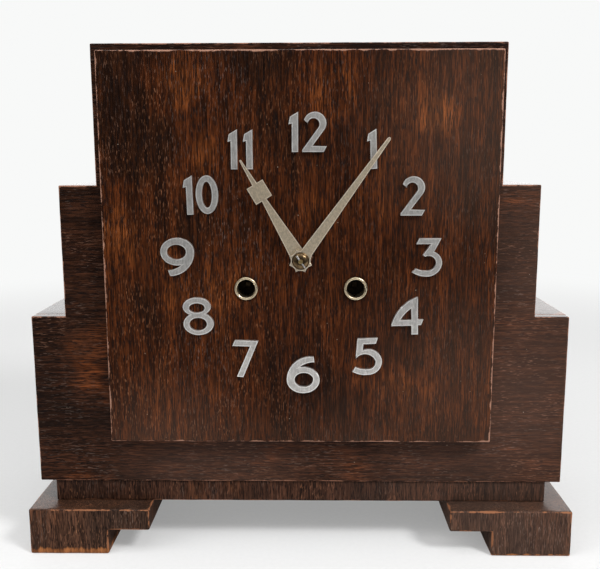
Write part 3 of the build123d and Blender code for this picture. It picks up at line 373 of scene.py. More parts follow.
def makeOak(name, look):
    material, tree, surface = newMaterial(name)
    place = objectPlace(tree)
    turned = addNode(tree, "ShaderNodeMapping", {"Vector": place, "Rotation": grainTurns[look["grain"]]}).outputs[0]
    axes = axesOf(tree, place)
    warmth = maths(tree, "ADD", look["warmth"], 0.0)
    for middle, reach, strength in look["spots"]:
        spot = spotAt(tree, place, middle, reach, oakFinish["spotUneven"])
        warmth = maths(tree, "MULTIPLY_ADD", spot, strength, warmth)
    feeds = {
        "Vector": stretched(tree, turned, (1, 1, 1), look["shift"]), "Warmth": warmth, "Figure": look["figure"],
        "Flecks": smoothMap(tree, axes[0], *look["fleckFade"]), "Dark": look["dark"], "Middle": look["middle"],
        "Warm": look["warm"], "Open Pore": look["pore"], "Grey Pore": look["greyPore"],
    }
    grain = fillGroup(tree, oakGrain, feeds)
    # painted sheen: a grey veil added to the colour, standing in for reflections of the lamps and the floor
    colour = grain["Color"]
    for middle, reach, strength in look["paintedSheen"]:
        paintedSheenMask = spotAt(tree, place, middle, reach, oakFinish["paintedSheenUneven"])
        colour = mixColours(tree, maths(tree, "MULTIPLY", paintedSheenMask, strength), colour, look["paintedSheenColour"], "ADD")
    feeds = {"Vector": place, "Distance": arrisOf(tree), "Width": look["wear"], "Amount": oakFinish["wornShare"]}
    worn = fillGroup(tree, edgeWear, feeds)["Mask"]
    colour = mixColours(tree, worn, colour, look["edge"])
    feeds = {"Vector": place, "Scale": oakFinish["speckScale"], "Size": look["specks"]}
    dust = maths(tree, "MULTIPLY", fillGroup(tree, specks, feeds)["Mask"], oakFinish["speckShare"])
    colour = mixColours(tree, dust, colour, oakFinish["speckColour"])
    if name == "endOak":
        colour = rubFeet(tree, place, axes, colour)
    rough = maths(tree, "MULTIPLY_ADD", grain["Pores"], oakFinish["poreRough"], look["gloss"])
    rough = maths(tree, "MULTIPLY_ADD", worn, oakFinish["wornRough"], rough)
    height = maths(tree, "SUBTRACT", grain["Height"], maths(tree, "MULTIPLY", worn, oakFinish["wornDepth"]))
    bump = addNode(tree, "ShaderNodeBump", {"Height": height, **oakFinish["bump"]}).outputs[0]
    upward = axesOf(tree, addNode(tree, "ShaderNodeNewGeometry").outputs["Normal"])[2]
    waxed = smoothMap(tree, upward, *oakFinish["waxedFrom"], 0.0, look["wax"])
    feedNode(tree, surface, {"Base Color": colour, "Roughness": rough, "Normal": bump, "Coat Weight": waxed})
    feedNode(tree, surface, oakFinish["surface"])
    return material


# the rim colour of the numerals and hands is a painted highlight: a paler colour on their bevels, standing in for the
# bright reflections off them
metalLooks = {
    "numeralSteel": {
        "base": (0.66, 0.64, 0.615, 1), "dull": (0.52, 0.505, 0.485, 1), "rim": (0.88, 0.86, 0.83, 1),
        "rough": 0.38, "scale": 320.0, "streak": (1, 1, 0.25), "bump": 0.12,
    },
    "handNickel": {
        "base": (0.70, 0.59, 0.44, 1), "dull": (0.62, 0.52, 0.38, 1), "rim": (1.0, 0.87, 0.70, 1),
        "rough": 0.38, "scale": 900.0, "streak": (1, 1, 0.6), "bump": 0.1,
    },
    "trimBrass": {
        "base": (0.68, 0.58, 0.41, 1), "dull": (0.56, 0.46, 0.31, 1), "rim": None,
        "rough": 0.26, "scale": 160.0, "streak": (1, 1, 1), "bump": 0.03,
    },
    "oldBrass": {
        "base": (0.17, 0.115, 0.06, 1), "dull": (0.08, 0.052, 0.027, 1), "rim": None,
        "rough": 0.22, "scale": 260.0, "streak": (1, 1, 1), "bump": 0.05,
    },
    "clockBrass": {
        "base": (0.66, 0.48, 0.22, 1), "dull": (0.60, 0.43, 0.185, 1), "rim": None,
        "rough": 0.3, "scale": 70.0, "streak": (0.08, 1, 1), "bump": 0.05,
    },
    "clockSteel": {
        "base": (0.52, 0.52, 0.53, 1), "dull": (0.34, 0.33, 0.32, 1), "rim": None,
        "rough": 0.3, "scale": 260.0, "streak": (1, 0.2, 1), "bump": 0.1,
    },
    # the winding arbors: steel darkened almost to black, painted shade for the dark bores they sit in
    "paintedShadeSteel": {
        "base": (0.05, 0.038, 0.026, 1), "dull": (0.025, 0.018, 0.012, 1), "rim": None,
        "rough": 0.4, "scale": 260.0, "streak": (1, 0.2, 1), "bump": 0.1,
    },
    "blueSteel": {
        "base": (0.06, 0.075, 0.14, 1), "dull": (0.035, 0.03, 0.045, 1), "rim": None,
        "rough": 0.3, "scale": 180.0, "streak": (1, 1, 1), "bump": 0.08,
    },
}
metalFinish = {
    "scratches": (0.3, 0.7, 0.82, 1.12), "dullRough": 0.1, "bloomRough": -0.12,
    "paintedHighlightFrom": (0.75, 1.0, 1.0, 0.0), "paintedHighlightShare": 0.8, "bumpDistance": 0.0002,
}


def makeMetal(name, look):
    material, tree, surface = newMaterial(name)
    feeds = {"Vector": objectPlace(tree), "Scale": look["scale"], "Streak": look["streak"]}
    bloom = fillGroup(tree, metalBloom, feeds)
    colour = mixColours(tree, bloom["Bloom"], look["dull"], look["base"])
    shade = smoothMap(tree, bloom["Scratch"], *metalFinish["scratches"])
    colour = mixColours(tree, 1.0, colour, greyOf(tree, shade), "MULTIPLY")
    dullRough = look["rough"] + metalFinish["dullRough"]
    rough = maths(tree, "MULTIPLY_ADD", bloom["Bloom"], metalFinish["bloomRough"], dullRough)
    # painted highlight: the bevels take the paler rim colour
    if look["rim"]:
        rim = smoothMap(tree, arrisOf(tree), *metalFinish["paintedHighlightFrom"])
        colour = mixColours(tree, maths(tree, "MULTIPLY", rim, metalFinish["paintedHighlightShare"]), colour, look["rim"])
    feeds = {"Height": bloom["Height"], "Strength": look["bump"], "Distance": metalFinish["bumpDistance"]}
    bump = addNode(tree, "ShaderNodeBump", feeds).outputs[0]
    feedNode(tree, surface, {"Base Color": colour, "Roughness": rough, "Normal": bump, "Metallic": 1.0})
    return material


materials = {name: makeOak(name, look) for name, look in oakLooks.items()}
materials.update({name: makeMetal(name, look) for name, look in metalLooks.items()})
print("materials built:", ", ".join(materials))


def addPiece(name, mesh, material, body, slot, *nodes):
    piece = bpy.data.objects.new(name, mesh)
    bpy.context.scene.collection.objects.link(piece)
    piece.data.materials.clear()
    piece.data.materials.append(materials[material])
    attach(piece, body)
    if nodes:
        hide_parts(*nodes)
    return piece


# the mesh an object has once its modifiers are applied
def appliedMesh(piece):
    return bpy.data.meshes.new_from_object(piece.evaluated_get(bpy.context.evaluated_depsgraph_get()))


# the offset from each point to the nearest place at least step inside the boxes
def inward(points, boxes, step):
    best, bestLength = None, None
    for low, high in boxes:
        nearest = np.minimum(np.maximum(points, np.array(low) + step), np.array(high) - step)
        away = points - nearest
        length = np.linalg.norm(away, axis=1)
        if best is None:
            best, bestLength = away, length
        else:
            closer = length < bestLength - 1e-9
            best[closer], bestLength[closer] = away[closer], length[closer]
    return best


# distance to the nearest outer arris, in millimetres, no more than reach
def arrisDistance(points, boxes, reach):
    away = np.sort(np.abs(inward(points, boxes, reach * mm)), axis=1)
    return np.clip(reach - away[:, 1] / mm, 0, reach)


boardSurface = {
    "stops": (0.45, 1.0, 2.2),  # grid lines near an arris, in roundings from it
    "nearest": 0.45,  # the part of a short side that they may take up
    "waves": ((210.0, 170.0, 190.0), (-83.0, 61.0, 97.0)), "phase": 1.3,
    "worn": 0.12, "wornReach": 1.6,  # millimetres lost at the arrises, and how fast that fades
    "holeRim": 0.6,
}


def gridStops(keys, rounding, cell):
    stops = set(keys)
    for low, high in zip(keys, keys[1:]):
        room = (high - low) * boardSurface["nearest"]
        near = [rounding * share for share in boardSurface["stops"] if rounding * share < room]
        stops.update([low + d for d in near] + [high - d for d in near])
        first, last = low + (near[-1] if near else 0), high - (near[-1] if near else 0)
        count = max(1, ceil((last - first) / cell))
        stops.update(first + (last - first) * i / count for i in range(1, count))
    return np.array(sorted(stops))


# the outer faces of the grid cells that are solid, each as four indices of grid points
def outerFaces(solid, sizes):
    padded = np.pad(solid, 1)
    faces = []
    for axis in range(3):
        second, third = (axis + 1) % 3, (axis + 2) % 3
        for side in (0, 1):
            beyond = np.roll(padded, 1 - 2 * side, axis=axis)[1:-1, 1:-1, 1:-1]
            cells = np.argwhere(solid & ~beyond)
            corners = []
            for stepSecond, stepThird in ((0, 0), (1, 0), (1, 1), (0, 1)) if side else ((0, 0), (0, 1), (1, 1), (1, 0)):
                at = cells.copy()
                at[:, axis] += side
                at[:, second] += stepSecond
                at[:, third] += stepThird
                corners.append((at[:, 0] * sizes[1] + at[:, 1]) * sizes[2] + at[:, 2])
            faces.append(np.stack(corners, axis=1))
    return np.concatenate(faces)


# boxes that overlap, as one board with rounded arrises and a slightly uneven surface
def boardMesh(name, boxes, rounding, cell, reach, holes=()):
    radius = rounding * mm
    keys = [sorted({round(box[end][axis], 7) for box in boxes for end in (0, 1)}) for axis in range(3)]
    axes = [gridStops(key, radius, cell * mm) for key in keys]
    middles = np.meshgrid(*[(stops[1:] + stops[:-1]) / 2 for stops in axes], indexing="ij")
    solid = np.zeros(middles[0].shape, bool)
    for low, high in boxes:
        solid |= np.all([(m > l) & (m < h) for m, l, h in zip(middles, low, high)], axis=0)
    sizes = [len(stops) for stops in axes]
    used, faces = np.unique(outerFaces(solid, sizes), return_inverse=True)
    faces = faces.reshape(-1, 4)
    i, j, k = used // (sizes[1] * sizes[2]), used // sizes[2] % sizes[1], used % sizes[2]
    points = np.stack([axes[0][i], axes[1][j], axes[2][k]], axis=1)
    away = inward(points, boxes, radius)
    direction = away / np.maximum(np.linalg.norm(away, axis=1, keepdims=True), 1e-9)
    near = np.exp(-arrisDistance(points, boxes, reach) / boardSurface["wornReach"])[:, None]
    first, second = (points @ np.array(wave) for wave in boardSurface["waves"])
    wave = (np.sin(first) * np.sin(second + boardSurface["phase"]))[:, None]
    worn = boardSurface["worn"] * (1 + wave) * mm * near
    mesh = bpy.data.meshes.new(name)
    mesh.from_pydata((points - away + direction * (radius - worn)).tolist(), [], faces.tolist())
    mesh.update()
    if holes:
        mesh = cutHoles(mesh, name, holes)
    points = np.zeros(len(mesh.vertices) * 3)
    mesh.vertices.foreach_get("co", points)
    points = points.reshape(-1, 3)
    distance = arrisDistance(points, boxes, reach)
    front, back = min(low[1] for low, high in boxes), max(high[1] for low, high in boxes)
    for x, z, holeRadius in holes:
        ring = np.abs(np.hypot(points[:, 0] - x, points[:, 2] - z) - holeRadius)
        deep = np.minimum(np.abs(points[:, 1] - front), np.abs(points[:, 1] - back))
        distance = np.minimum(distance, np.maximum(ring, deep) / mm + boardSurface["holeRim"])
    attribute = mesh.attributes.new("arris", "FLOAT", "POINT")
    attribute.data.foreach_set("value", distance.astype(np.float32))
    mesh.shade_smooth()
    return mesh


cutter = {"sides": 48, "length": 0.6}


def cutHoles(mesh, name, holes):
    shape = bmesh.new()
    for x, z, radius in holes:
        turn = Matrix.Translation((x, caseFront, z)) @ Matrix.Rotation(radians(90), 4, "X")
        bmesh.ops.create_cone(
            shape, cap_ends=True, segments=cutter["sides"], radius1=radius, radius2=radius,
            depth=cutter["length"], matrix=turn,
        )
    cutterMesh = bpy.data.meshes.new(name + "Cutter")
    shape.to_mesh(cutterMesh)
    shape.free()
    board, tool = bpy.data.objects.new(name + "Cut", mesh), bpy.data.objects.new(name + "Cutter", cutterMesh)
    for thing in (board, tool):
        bpy.context.scene.collection.objects.link(thing)
    modifier = board.modifiers.new("holes", "BOOLEAN")
    modifier.object, modifier.operation, modifier.solver = tool, "DIFFERENCE", "EXACT"
    result = appliedMesh(board)
    for thing in (board, tool):
        bpy.data.objects.remove(thing)
    return result


def boxOf(node):
    low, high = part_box(node)
    return tuple(low), tuple(high)


# the stepped boards are three overlapping boxes, one for each step
def steppedBoxes(node):
    low, high = boxOf(node)
    boxes = [(low, (high[0], high[1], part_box("lower_shoulder_right")[1].z))]
    for side, top in (("middle_side_right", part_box("upper_shoulder_right")[1].z), ("column_side_right", high[2])):
        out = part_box(side)[1].x
        boxes.append(((-out, low[1], low[2]), (out, high[1], top)))
    return boxes


# a rectangular opening in a board: the boxes around it
def withOpening(boxes, openLow, openHigh):
    pieces, thinnest = [], 4 * mm
    for low, high in boxes:
        left, right = (low, (openLow[0], high[1], high[2])), ((openHigh[0], low[1], low[2]), high)
        under = (low, (high[0], high[1], min(openLow[1], high[2])))
        over = ((low[0], low[1], openHigh[1]), high)
        pieces += [p for p in (left, right, under, over) if all(h - l > thinnest for l, h in zip(*p))]
    return pieces


boards = {
    "front_board": ("frontBoard", "caseOak"),
    "top_board": ("topBoard", "caseOak"),
    "bottom_board": ("bottomBoard", "backOak"),
    "plinth_board": ("plinthBoard", "plinthOak"),
    "movement_rails": ("movementRails", "backOak"),
}
for side in ("left", "right"):
    for part in ("column", "middle", "lower"):
        boards[f"{part}_side_{side}"] = (f"{part}Side{side.capitalize()}", "plinthOak")
    for part in ("upper", "lower"):
        boards[f"{part}_shoulder_{side}"] = (f"{part}Shoulder{side.capitalize()}", "caseOak")
boardValues = {
    "rounding": 0.9, "innerRounding": 0.3, "cell": 9.0, "reach": 4.0, "rail": 16,
    "opening": (60, 36, 50),  # for the movement: to each side, below and above the dial's middle
}
for node, (name, oak) in boards.items():
    boxes = [boxOf(node)]
    if node == "front_board":
        aside, below, above = (value * mm for value in boardValues["opening"])
        boxes = withOpening(steppedBoxes(node), (dialX - aside, dialZ - below), (dialX + aside, dialZ + above))
    if node == "movement_rails":
        (low, high), rail = boxes[0], boardValues["rail"] * mm
        boxes = [(low, (high[0], high[1], low[2] + rail)), ((low[0], low[1], high[2] - rail), high)]
    rounding = boardValues["rounding" if node in ("front_board", "plinth_board") else "innerRounding"]
    mesh = boardMesh(name, boxes, rounding, boardValues["cell"], boardValues["reach"])
    addPiece(name, mesh, oak, "case", "case_oak", node)

backValues = {
    "rounding": 0.6, "cell": 9.0, "reach": 4.0, "doorGap": 0.75,
    "soundAt": (40.0, 130.0), "soundHole": 4.0, "soundRing": 11.0, "soundCount": 6,
}
doorLow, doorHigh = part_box("back_door")
gap = backValues["doorGap"] * mm
openLow, openHigh = (doorLow.x - gap, doorLow.z - gap), (doorHigh.x + gap, doorHigh.z + gap)
backBoxes = withOpening(steppedBoxes("back_board"), openLow, openHigh)
sizes = [backValues[key] for key in ("rounding", "cell", "reach")]
addPiece("backBoard", boardMesh("backBoard", backBoxes, *sizes), "backOak", "case", "case_oak", "back_board")

# the door with its sound holes: one in the middle and a ring of them
soundX, soundZ = (value * mm for value in backValues["soundAt"])
soundHole, soundRing = backValues["soundHole"] * mm, backValues["soundRing"] * mm
soundHoles = [(soundX, soundZ, soundHole)]
for i in range(backValues["soundCount"]):
    turn = 2 * pi * i / backValues["soundCount"]
    soundHoles.append((soundX + soundRing * cos(turn), soundZ + soundRing * sin(turn), soundHole))
mesh = boardMesh("backDoor", [boxOf("back_door")], *sizes, soundHoles)
addPiece("backDoor", mesh, "backOak", "door", "case_oak", "back_door")

# each foot: a wide upper part over a narrower one at the outer end
feetValues = {"step": 18.4, "block": 56.8, "rounding": 1.3, "cell": 7.0, "reach": 6.0}
for side in ("left", "right"):
    low, high = boxOf(f"foot_{side}")
    if side == "right":
        under = ((high[0] - feetValues["block"] * mm, low[1], low[2]), high)
    else:
        under = (low, (low[0] + feetValues["block"] * mm, high[1], high[2]))
    over = ((low[0], low[1], low[2] + feetValues["step"] * mm), high)
    name = "foot" + side.capitalize()
    mesh = boardMesh(name, [under, over], feetValues["rounding"], feetValues["cell"], feetValues["reach"])
    addPiece(name, mesh, "endOak", "case", "case_oak", f"foot_{side}")

# the dial panel, with its holes for the hands and the winding ferrules
panelValues = {"rounding": 0.9, "cell": 7.0, "reach": 4.9, "centreHole": 6.5}
ferrule = {"bore": 6.1, "barrel": 6.8, "flange": 8.0, "proud": 1.7, "deep": 10.0, "lip": 9, "sides": 64}
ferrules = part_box("winding_ferrules")
ferruleX = [ferrules[0].x + ferrule["flange"] * mm, ferrules[1].x - ferrule["flange"] * mm]
ferruleZ = (ferrules[0].z + ferrules[1].z) / 2
holes = [(dialX, dialZ, panelValues["centreHole"] * mm)] + [(x, ferruleZ, ferrule["barrel"] * mm) for x in ferruleX]
sizes = [panelValues[key] for key in ("rounding", "cell", "reach")]
mesh = boardMesh("dialPanel", [boxOf("dial_panel")], *sizes, holes)
addPiece("dialPanel", mesh, "panelOak", "case", "panel_oak", "dial_panel")
print("boards built")


# a turned ring from its profile of (radius, depth) in millimetres, about an axis that runs back
def turnedRing(shape, x, y, z, profile, sides):
    rings = []
    for i in range(sides):
        turn = 2 * pi * i / sides
        across, upward = cos(turn) * mm, sin(turn) * mm
        rings.append([shape.verts.new((x + r * across, y + d * mm, z + r * upward)) for r, d in profile])
    for ring, following in zip(rings, rings[1:] + rings[:1]):
        for i in range(len(profile)):
            j = (i + 1) % len(profile)
            shape.faces.new((ring[i], ring[j], following[j], following[i]))


# its flange ends in a half-round lip
middle, half = (ferrule["flange"] + ferrule["bore"]) / 2, (ferrule["flange"] - ferrule["bore"]) / 2
profile = [(ferrule["barrel"], ferrule["deep"]), (ferrule["barrel"], 0.0), (ferrule["flange"], 0.0)]
for i in range(ferrule["lip"] + 1):
    turn = pi * i / ferrule["lip"]
    profile.append((middle + half * cos(turn), -ferrule["proud"] + half - half * sin(turn)))
profile.append((ferrule["bore"], ferrule["deep"]))
shape = bmesh.new()
for x in ferruleX:
    turnedRing(shape, x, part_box("dial_panel")[0].y, ferruleZ, profile, ferrule["sides"])
bmesh.ops.recalc_face_normals(shape, faces=shape.faces)
mesh = bpy.data.meshes.new("windingFerrules")
shape.to_mesh(mesh)
shape.free()
mesh.shade_smooth()
addPiece("windingFerrules", mesh, "trimBrass", "case", "trim_brass", "winding_ferrules")


flatShape = {"join": 2e-6, "flat": 1.5, "facing": -0.9, "level": 1e-5}


# a copy of a flat frame node with a bevel round its front face; arris is 0 at the bevel's edge and 1 inside it
def bevelledCopy(node, name, width, drop):
    shape = bmesh.new()
    shape.from_mesh(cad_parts[node].data)
    bmesh.ops.remove_doubles(shape, verts=shape.verts, dist=flatShape["join"])
    bmesh.ops.dissolve_limit(shape, angle_limit=radians(flatShape["flat"]), verts=shape.verts, edges=shape.edges)
    front = min(v.co.y for v in shape.verts) + flatShape["level"]
    faces = [f for f in shape.faces if f.normal.y < flatShape["facing"] and f.calc_center_median().y < front]
    rim = {v for f in faces for v in f.verts}
    bmesh.ops.inset_region(shape, faces=faces, thickness=width * mm, use_even_offset=True, use_boundary=True)
    inner = {v for f in faces for v in f.verts}
    for vertex in rim - inner:
        vertex.co.y += drop * mm
    bmesh.ops.triangulate(shape, faces=shape.faces)
    shape.verts.index_update()
    inside = [1.0 if v in inner else 0.0 for v in shape.verts]
    mesh = bpy.data.meshes.new(name)
    shape.to_mesh(mesh)
    shape.free()
    mesh.attributes.new("arris", "FLOAT", "POINT").data.foreach_set("value", inside)
    return mesh


numerals = {"width": 0.75, "drop": 0.5}
for hour in range(1, 13):
    mesh = bevelledCopy(f"numeral_{hour}", f"numeral{hour}", numerals["width"], numerals["drop"])
    addPiece(f"numeral{hour}", mesh, "numeralSteel", "case", "numeral_steel", f"numeral_{hour}")
clockHands = {"width": 0.6, "drop": 0.45}
for node, name, body in (("hour_hand", "hourHand", "hour"), ("minute_hand", "minuteHand", "hands")):
    mesh = bevelledCopy(node, name, clockHands["width"], clockHands["drop"])
    addPiece(name, mesh, "handNickel", body, "hand_nickel", node)
print("numerals, hands and ferrules built")

nodeLooks = {
    "oldBrass": ["hand_collet"],
    "trimBrass": ["door_knob", "hinge_case_leaves", "hinge_door_leaves"],
    "clockBrass": [
        "front_plate", "back_plate", "pillars", "time_barrel", "strike_barrel", "second_wheel", "centre_wheel",
        "third_wheel", "escape_wheel", "minute_wheel", "hour_wheel", "pin_wheel", "strike_fly", "suspension_cock",
        "pendulum",
    ],
    "clockSteel": ["anchor", "taper_pin", "hammer"],
    # the winding arbors take the steel darkened as painted shade
    "paintedShadeSteel": ["time_winding_arbor", "strike_winding_arbor"],
    "blueSteel": ["gong"],
}
for look, names in nodeLooks.items():
    for name in names:
        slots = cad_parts[name].data.materials
        for i in range(len(slots)):
            slots[i] = materials[look]
        if not slots:
            slots.append(materials[look])
print("frame nodes finished")

headShape = {"sides": 20, "rings": 2, "top": 0.62, "slotLength": 3.0}


# geometry nodes: a slotted screw head on each point, lying along the point's "facing" direction
def makeScrewTree():
    tree = bpy.data.node_groups.new("screwHeads", "GeometryNodeTree")
    tree.interface.new_socket(name="Places", in_out="INPUT", socket_type="NodeSocketGeometry")
    for label, start in (("Radius", 0.002), ("Height", 0.0007), ("Slot Width", 0.0005), ("Slot Depth", 0.0005)):
        socket = tree.interface.new_socket(name=label, in_out="INPUT", socket_type="NodeSocketFloat")
        socket.default_value = start
    tree.interface.new_socket(name="Finish", in_out="INPUT", socket_type="NodeSocketMaterial")
    tree.interface.new_socket(name="Seed", in_out="INPUT", socket_type="NodeSocketInt").default_value = 3
    tree.interface.new_socket(name="Screws", in_out="OUTPUT", socket_type="NodeSocketGeometry")
    given, output = addNode(tree, "NodeGroupInput").outputs, addNode(tree, "NodeGroupOutput")
    top = maths(tree, "MULTIPLY", given["Radius"], headShape["top"])
    feeds = {
        "Radius Top": top, "Radius Bottom": given["Radius"], "Depth": given["Height"],
        "Vertices": headShape["sides"], "Side Segments": headShape["rings"],
    }
    head = addNode(tree, "GeometryNodeMeshCone", feeds).outputs["Mesh"]
    length = maths(tree, "MULTIPLY", given["Radius"], headShape["slotLength"])
    depth = maths(tree, "MULTIPLY", given["Slot Depth"], 2.0)  # half of it is above the head
    size = addNode(tree, "ShaderNodeCombineXYZ", {0: length, 1: given["Slot Width"], 2: depth}).outputs[0]
    slot = addNode(tree, "GeometryNodeMeshCube", {"Size": size}).outputs["Mesh"]
    lift = addNode(tree, "ShaderNodeCombineXYZ", {2: given["Height"]}).outputs[0]
    slot = addNode(tree, "GeometryNodeTransform", {"Geometry": slot, "Translation": lift}).outputs[0]
    feeds = {0: head, 1: slot}
    cut = addNode(tree, "GeometryNodeMeshBoolean", feeds, operation="DIFFERENCE", solver="EXACT").outputs["Mesh"]
    points = addNode(tree, "GeometryNodeMeshToPoints", {"Mesh": given["Places"]}).outputs[0]
    facing = addNode(tree, "GeometryNodeInputNamedAttribute", {"Name": "facing"}, data_type="FLOAT_VECTOR")
    feeds = {"Vector": facing.outputs["Attribute"]}
    turn = addNode(tree, "FunctionNodeAlignRotationToVector", feeds, axis="Z").outputs[0]
    chance = addNode(tree, "FunctionNodeRandomValue", {2: 0.0, 3: pi, "Seed": given["Seed"]}, data_type="FLOAT")
    spin = addNode(tree, "ShaderNodeCombineXYZ", {2: chance.outputs[1]}).outputs[0]
    turn = addNode(tree, "FunctionNodeRotateRotation", {0: turn, 1: spin}, rotation_space="LOCAL").outputs[0]
    feeds = {"Points": points, "Instance": cut, "Rotation": turn}
    placed = addNode(tree, "GeometryNodeInstanceOnPoints", feeds).outputs[0]
    real = addNode(tree, "GeometryNodeRealizeInstances", {"Geometry": placed}).outputs[0]
    finished = addNode(tree, "GeometryNodeSetMaterial", {"Geometry": real, "Material": given["Finish"]}).outputs[0]
    tree.links.new(finished, output.inputs["Screws"])
    return tree


screwHeads = makeScrewTree()


def addScrews(name, places, sizes, finish, body, slot):
    seeds = bpy.data.meshes.new(name + "Places")
    seeds.from_pydata(places, [], [])
    seeds.attributes.new("facing", "FLOAT_VECTOR", "POINT").data.foreach_set("vector", (0, 1, 0) * len(places))
    carrier = bpy.data.objects.new(name + "Places", seeds)
    bpy.context.scene.collection.objects.link(carrier)
    modifier = carrier.modifiers.new("screws", "NODES")
    modifier.node_group = screwHeads
    names = {item.name: item.identifier for item in screwHeads.interface.items_tree if item.in_out == "INPUT"}
    for label, value in {**sizes, "Finish": materials[finish], "Seed": len(places)}.items():
        modifier[names[label]] = value
    mesh = appliedMesh(carrier)
    mesh.name = name
    bpy.data.objects.remove(carrier)
    return addPiece(name, mesh, finish, body, slot)


# three screws in each hinge leaf
hingeScrews = {"Radius": 0.0017, "Height": 0.0006, "Slot Width": 0.0005, "Slot Depth": 0.0004}
hingeValues = {"leafLength": 36, "inset": 5.2, "lift": 1.4, "offsets": (-13, 0, 13)}
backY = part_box("back_board")[1].y
hinges = (("hinge_case_leaves", "hingeScrewsCase", "case"), ("hinge_door_leaves", "hingeScrewsDoor", "door"))
for node, name, body in hinges:
    low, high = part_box(node)
    inset, half = hingeValues["inset"] * mm, hingeValues["leafLength"] / 2 * mm
    x, y = high.x - inset if body == "case" else low.x + inset, backY + hingeValues["lift"] * mm
    places = [(x, y, z + offset * mm) for z in (low.z + half, high.z - half) for offset in hingeValues["offsets"]]
    addScrews(name, places, hingeScrews, "trimBrass", body, "trim_brass")

# the screws that hold the movement to its rails
railScrews = {"Radius": 0.0034, "Height": 0.0016, "Slot Width": 0.0009, "Slot Depth": 0.0009}
railValues = {"inset": 8, "aside": (-74, 74), "lift": 0.6}
low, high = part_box("movement_rails")
heights = (low.z + railValues["inset"] * mm, high.z - railValues["inset"] * mm)
places = [(dialX + x * mm, high.y + railValues["lift"] * mm, z) for z in heights for x in railValues["aside"]]
addScrews("railScrews", places, railScrews, "clockSteel", "case", "movement_steel")

# brass panel pins up the sides of each step of the back board
panelPins = {"Radius": 0.0012, "Height": 0.0005, "Slot Width": 0.0, "Slot Depth": 0.0}
pinValues = {"inset": 4.5, "pitch": 46, "apart": 12, "lift": 0.2}
pinInset, pinY = pinValues["inset"] * mm, backY + pinValues["lift"] * mm
previous, places = 0.0, []
for low, high in steppedBoxes("back_board"):
    start, top = max(low[2] + pinInset, previous + pinValues["apart"] * mm), high[2] - pinInset
    count = max(1, round((top - start) / (pinValues["pitch"] * mm)))
    heights = [start + (top - start) * i / count for i in range(count + 1)]
    places += [(x, pinY, z) for x in (pinInset - high[0], high[0] - pinInset) for z in heights]
    previous = top
addScrews("backPins", places, panelPins, "trimBrass", "case", "trim_brass")
print("screws and pins placed")

# seamless pale ground: near the clock it takes its shadows, far off it fades to the backdrop
ground = {
    "size": 8.0, "cells": 60, "albedo": 0.78, "mottle": 0.012, "noise": (300, 3), "noiseFrom": (0.3, 0.7),
    "lift": 0.3, "fade": (0.6, 1.4), "tableEnd": (-0.8, -0.45), "white": (0.938, 0.945, 0.94, 1),
    "surface": {"Roughness": 0.7, "Specular IOR Level": 0.2},
}
shape = bmesh.new()
bmesh.ops.create_grid(shape, x_segments=ground["cells"], y_segments=ground["cells"], size=ground["size"])
groundMesh = bpy.data.meshes.new("ground")
shape.to_mesh(groundMesh)
shape.free()
groundPiece = bpy.data.objects.new("ground", groundMesh)
bpy.context.scene.collection.objects.link(groundPiece)
material, tree, surface = newMaterial("paleGround")
place = objectPlace(tree)
paler, darker = ground["albedo"] + ground["mottle"], ground["albedo"] - ground["mottle"]
shade = smoothMap(tree, noiseOf(tree, place, *ground["noise"]), *ground["noiseFrom"], darker, paler)
seen = addNode(tree, "ShaderNodeLightPath").outputs["Is Camera Ray"]
behindEnd = smoothMap(tree, axesOf(tree, place)[1], *ground["tableEnd"])  # no light comes off it in front of there
shade = maths(tree, "MULTIPLY", shade, maths(tree, "MAXIMUM", seen, behindEnd))
feedNode(tree, surface, {"Base Color": greyOf(tree, shade), **ground["surface"]})
far = vectorMaths(tree, "LENGTH", place)["Value"]
factor = maths(tree, "MULTIPLY", smoothMap(tree, far, *ground["fade"], ground["lift"], 1.0), seen)
output = surface.outputs[0].links[0].to_socket
white = addNode(tree, "ShaderNodeEmission", {"Color": ground["white"], "Strength": 1.0})
blended = addNode(tree, "ShaderNodeMixShader", {0: factor, 1: surface.outputs[0], 2: white.outputs[0]})
tree.links.new(blended.outputs[0], output)
groundPiece.data.materials.append(material)

# the studio round it: reflections are brighter from behind the clock than from in front
studio = {"turning": (-0.5, 0.6), "front": 0.42, "behind": 1.1, "even": 0.3}
world = bpy.data.worlds.new("studio")
bpy.context.scene.world = world
world.use_nodes = True
tree = world.node_tree
tree.nodes.clear()
toBack = axesOf(tree, addNode(tree, "ShaderNodeTexCoord").outputs["Generated"])[1]
paths = addNode(tree, "ShaderNodeLightPath").outputs
shine = smoothMap(tree, toBack, *studio["turning"], studio["front"], studio["behind"])
even = maths(tree, "MULTIPLY", studio["even"], paths["Is Diffuse Ray"])
level = maths(tree, "ADD", maths(tree, "MULTIPLY", shine, paths["Is Glossy Ray"]), even)
colour = mixColours(tree, paths["Is Camera Ray"], greyOf(tree, level), ground["white"])
background = addNode(tree, "ShaderNodeBackground", {"Color": colour, "Strength": 1.0})
addNode(tree, "ShaderNodeOutputWorld", {0: background.outputs[0]})

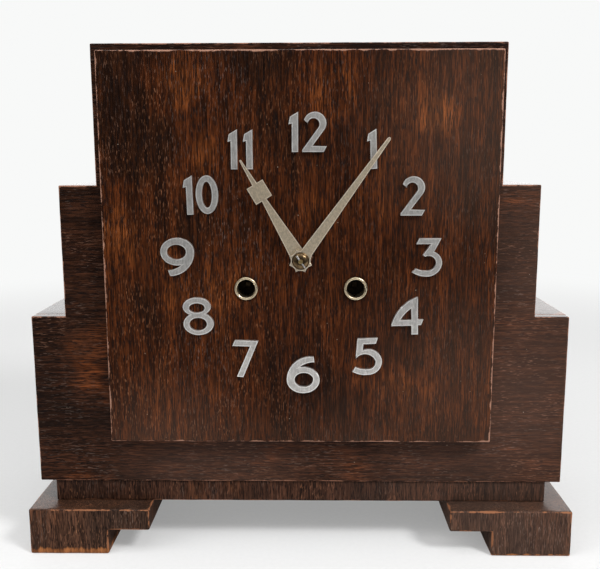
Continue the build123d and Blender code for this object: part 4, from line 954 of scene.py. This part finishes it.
lamps = {
    "keyRight": {
        "at": (1.0, -0.95, 1.35), "aim": (0, 0, 0.2), "size": 0.4, "power": 25.0, "glossy": True, "diffuse": True,
    },
    "fillLeft": {
        "at": (-1.2, -0.7, 1.0), "aim": (-0.35, 0.1, 0), "size": 1.0, "power": 9.0, "glossy": False, "diffuse": True,
    },
    "fillLow": {
        "at": (0.0, -1.4, 0.5), "aim": (0, 0, 0), "size": 1.2, "power": 2.5, "glossy": False, "diffuse": True,
    },
    "overhead": {
        "at": (-0.25, -0.45, 1.7), "aim": (-0.2, -0.1, 0), "size": 1.5, "power": 12.5, "glossy": True, "diffuse": True,
    },
    "backGlow": {
        "at": (0.0, 1.3, 0.6), "aim": (0, 0, 0.1), "size": 1.8, "power": 12.0, "glossy": True, "diffuse": False,
    },
}
for name, lamp in lamps.items():
    lampData = bpy.data.lights.new(name, "AREA")
    lampData.shape, lampData.size, lampData.energy = "SQUARE", lamp["size"], lamp["power"]
    lampPiece = bpy.data.objects.new(name, lampData)
    bpy.context.scene.collection.objects.link(lampPiece)
    lampPiece.location = lamp["at"]
    lampPiece.rotation_euler = (Vector(lamp["aim"]) - Vector(lamp["at"])).to_track_quat("-Z", "Y").to_euler()
    lampPiece.visible_camera = False
    lampPiece.visible_glossy, lampPiece.visible_diffuse = lamp["glossy"], lamp["diffuse"]

view = {
    "at": (0.00864, caseFront - 0.51896, 0.28098), "turn": 0.0152, "tilt": 0.1637, "roll": -0.0021,
    "lens": 45.324, "sensor": 36.0, "near": 0.01, "far": 60.0,
}
ahead = Vector((-sin(view["turn"]) * cos(view["tilt"]), cos(view["turn"]) * cos(view["tilt"]), -sin(view["tilt"])))
right = Vector((cos(view["turn"]), sin(view["turn"]), 0))
up = right.cross(ahead)
levelRight = right * cos(view["roll"]) + up * sin(view["roll"])
levelUp = up * cos(view["roll"]) - right * sin(view["roll"])
cameraData = bpy.data.cameras.new("camera")
cameraData.lens, cameraData.sensor_width = view["lens"], view["sensor"]
cameraData.clip_start, cameraData.clip_end = view["near"], view["far"]
camera = bpy.data.objects.new("camera", cameraData)
bpy.context.scene.collection.objects.link(camera)
camera.matrix_world = Matrix.Translation(view["at"]) @ Matrix((levelRight, levelUp, -ahead)).transposed().to_4x4()
bpy.context.scene.camera = camera
bpy.context.scene.view_settings.view_transform = "Standard"
print("stage, lights and camera placed")
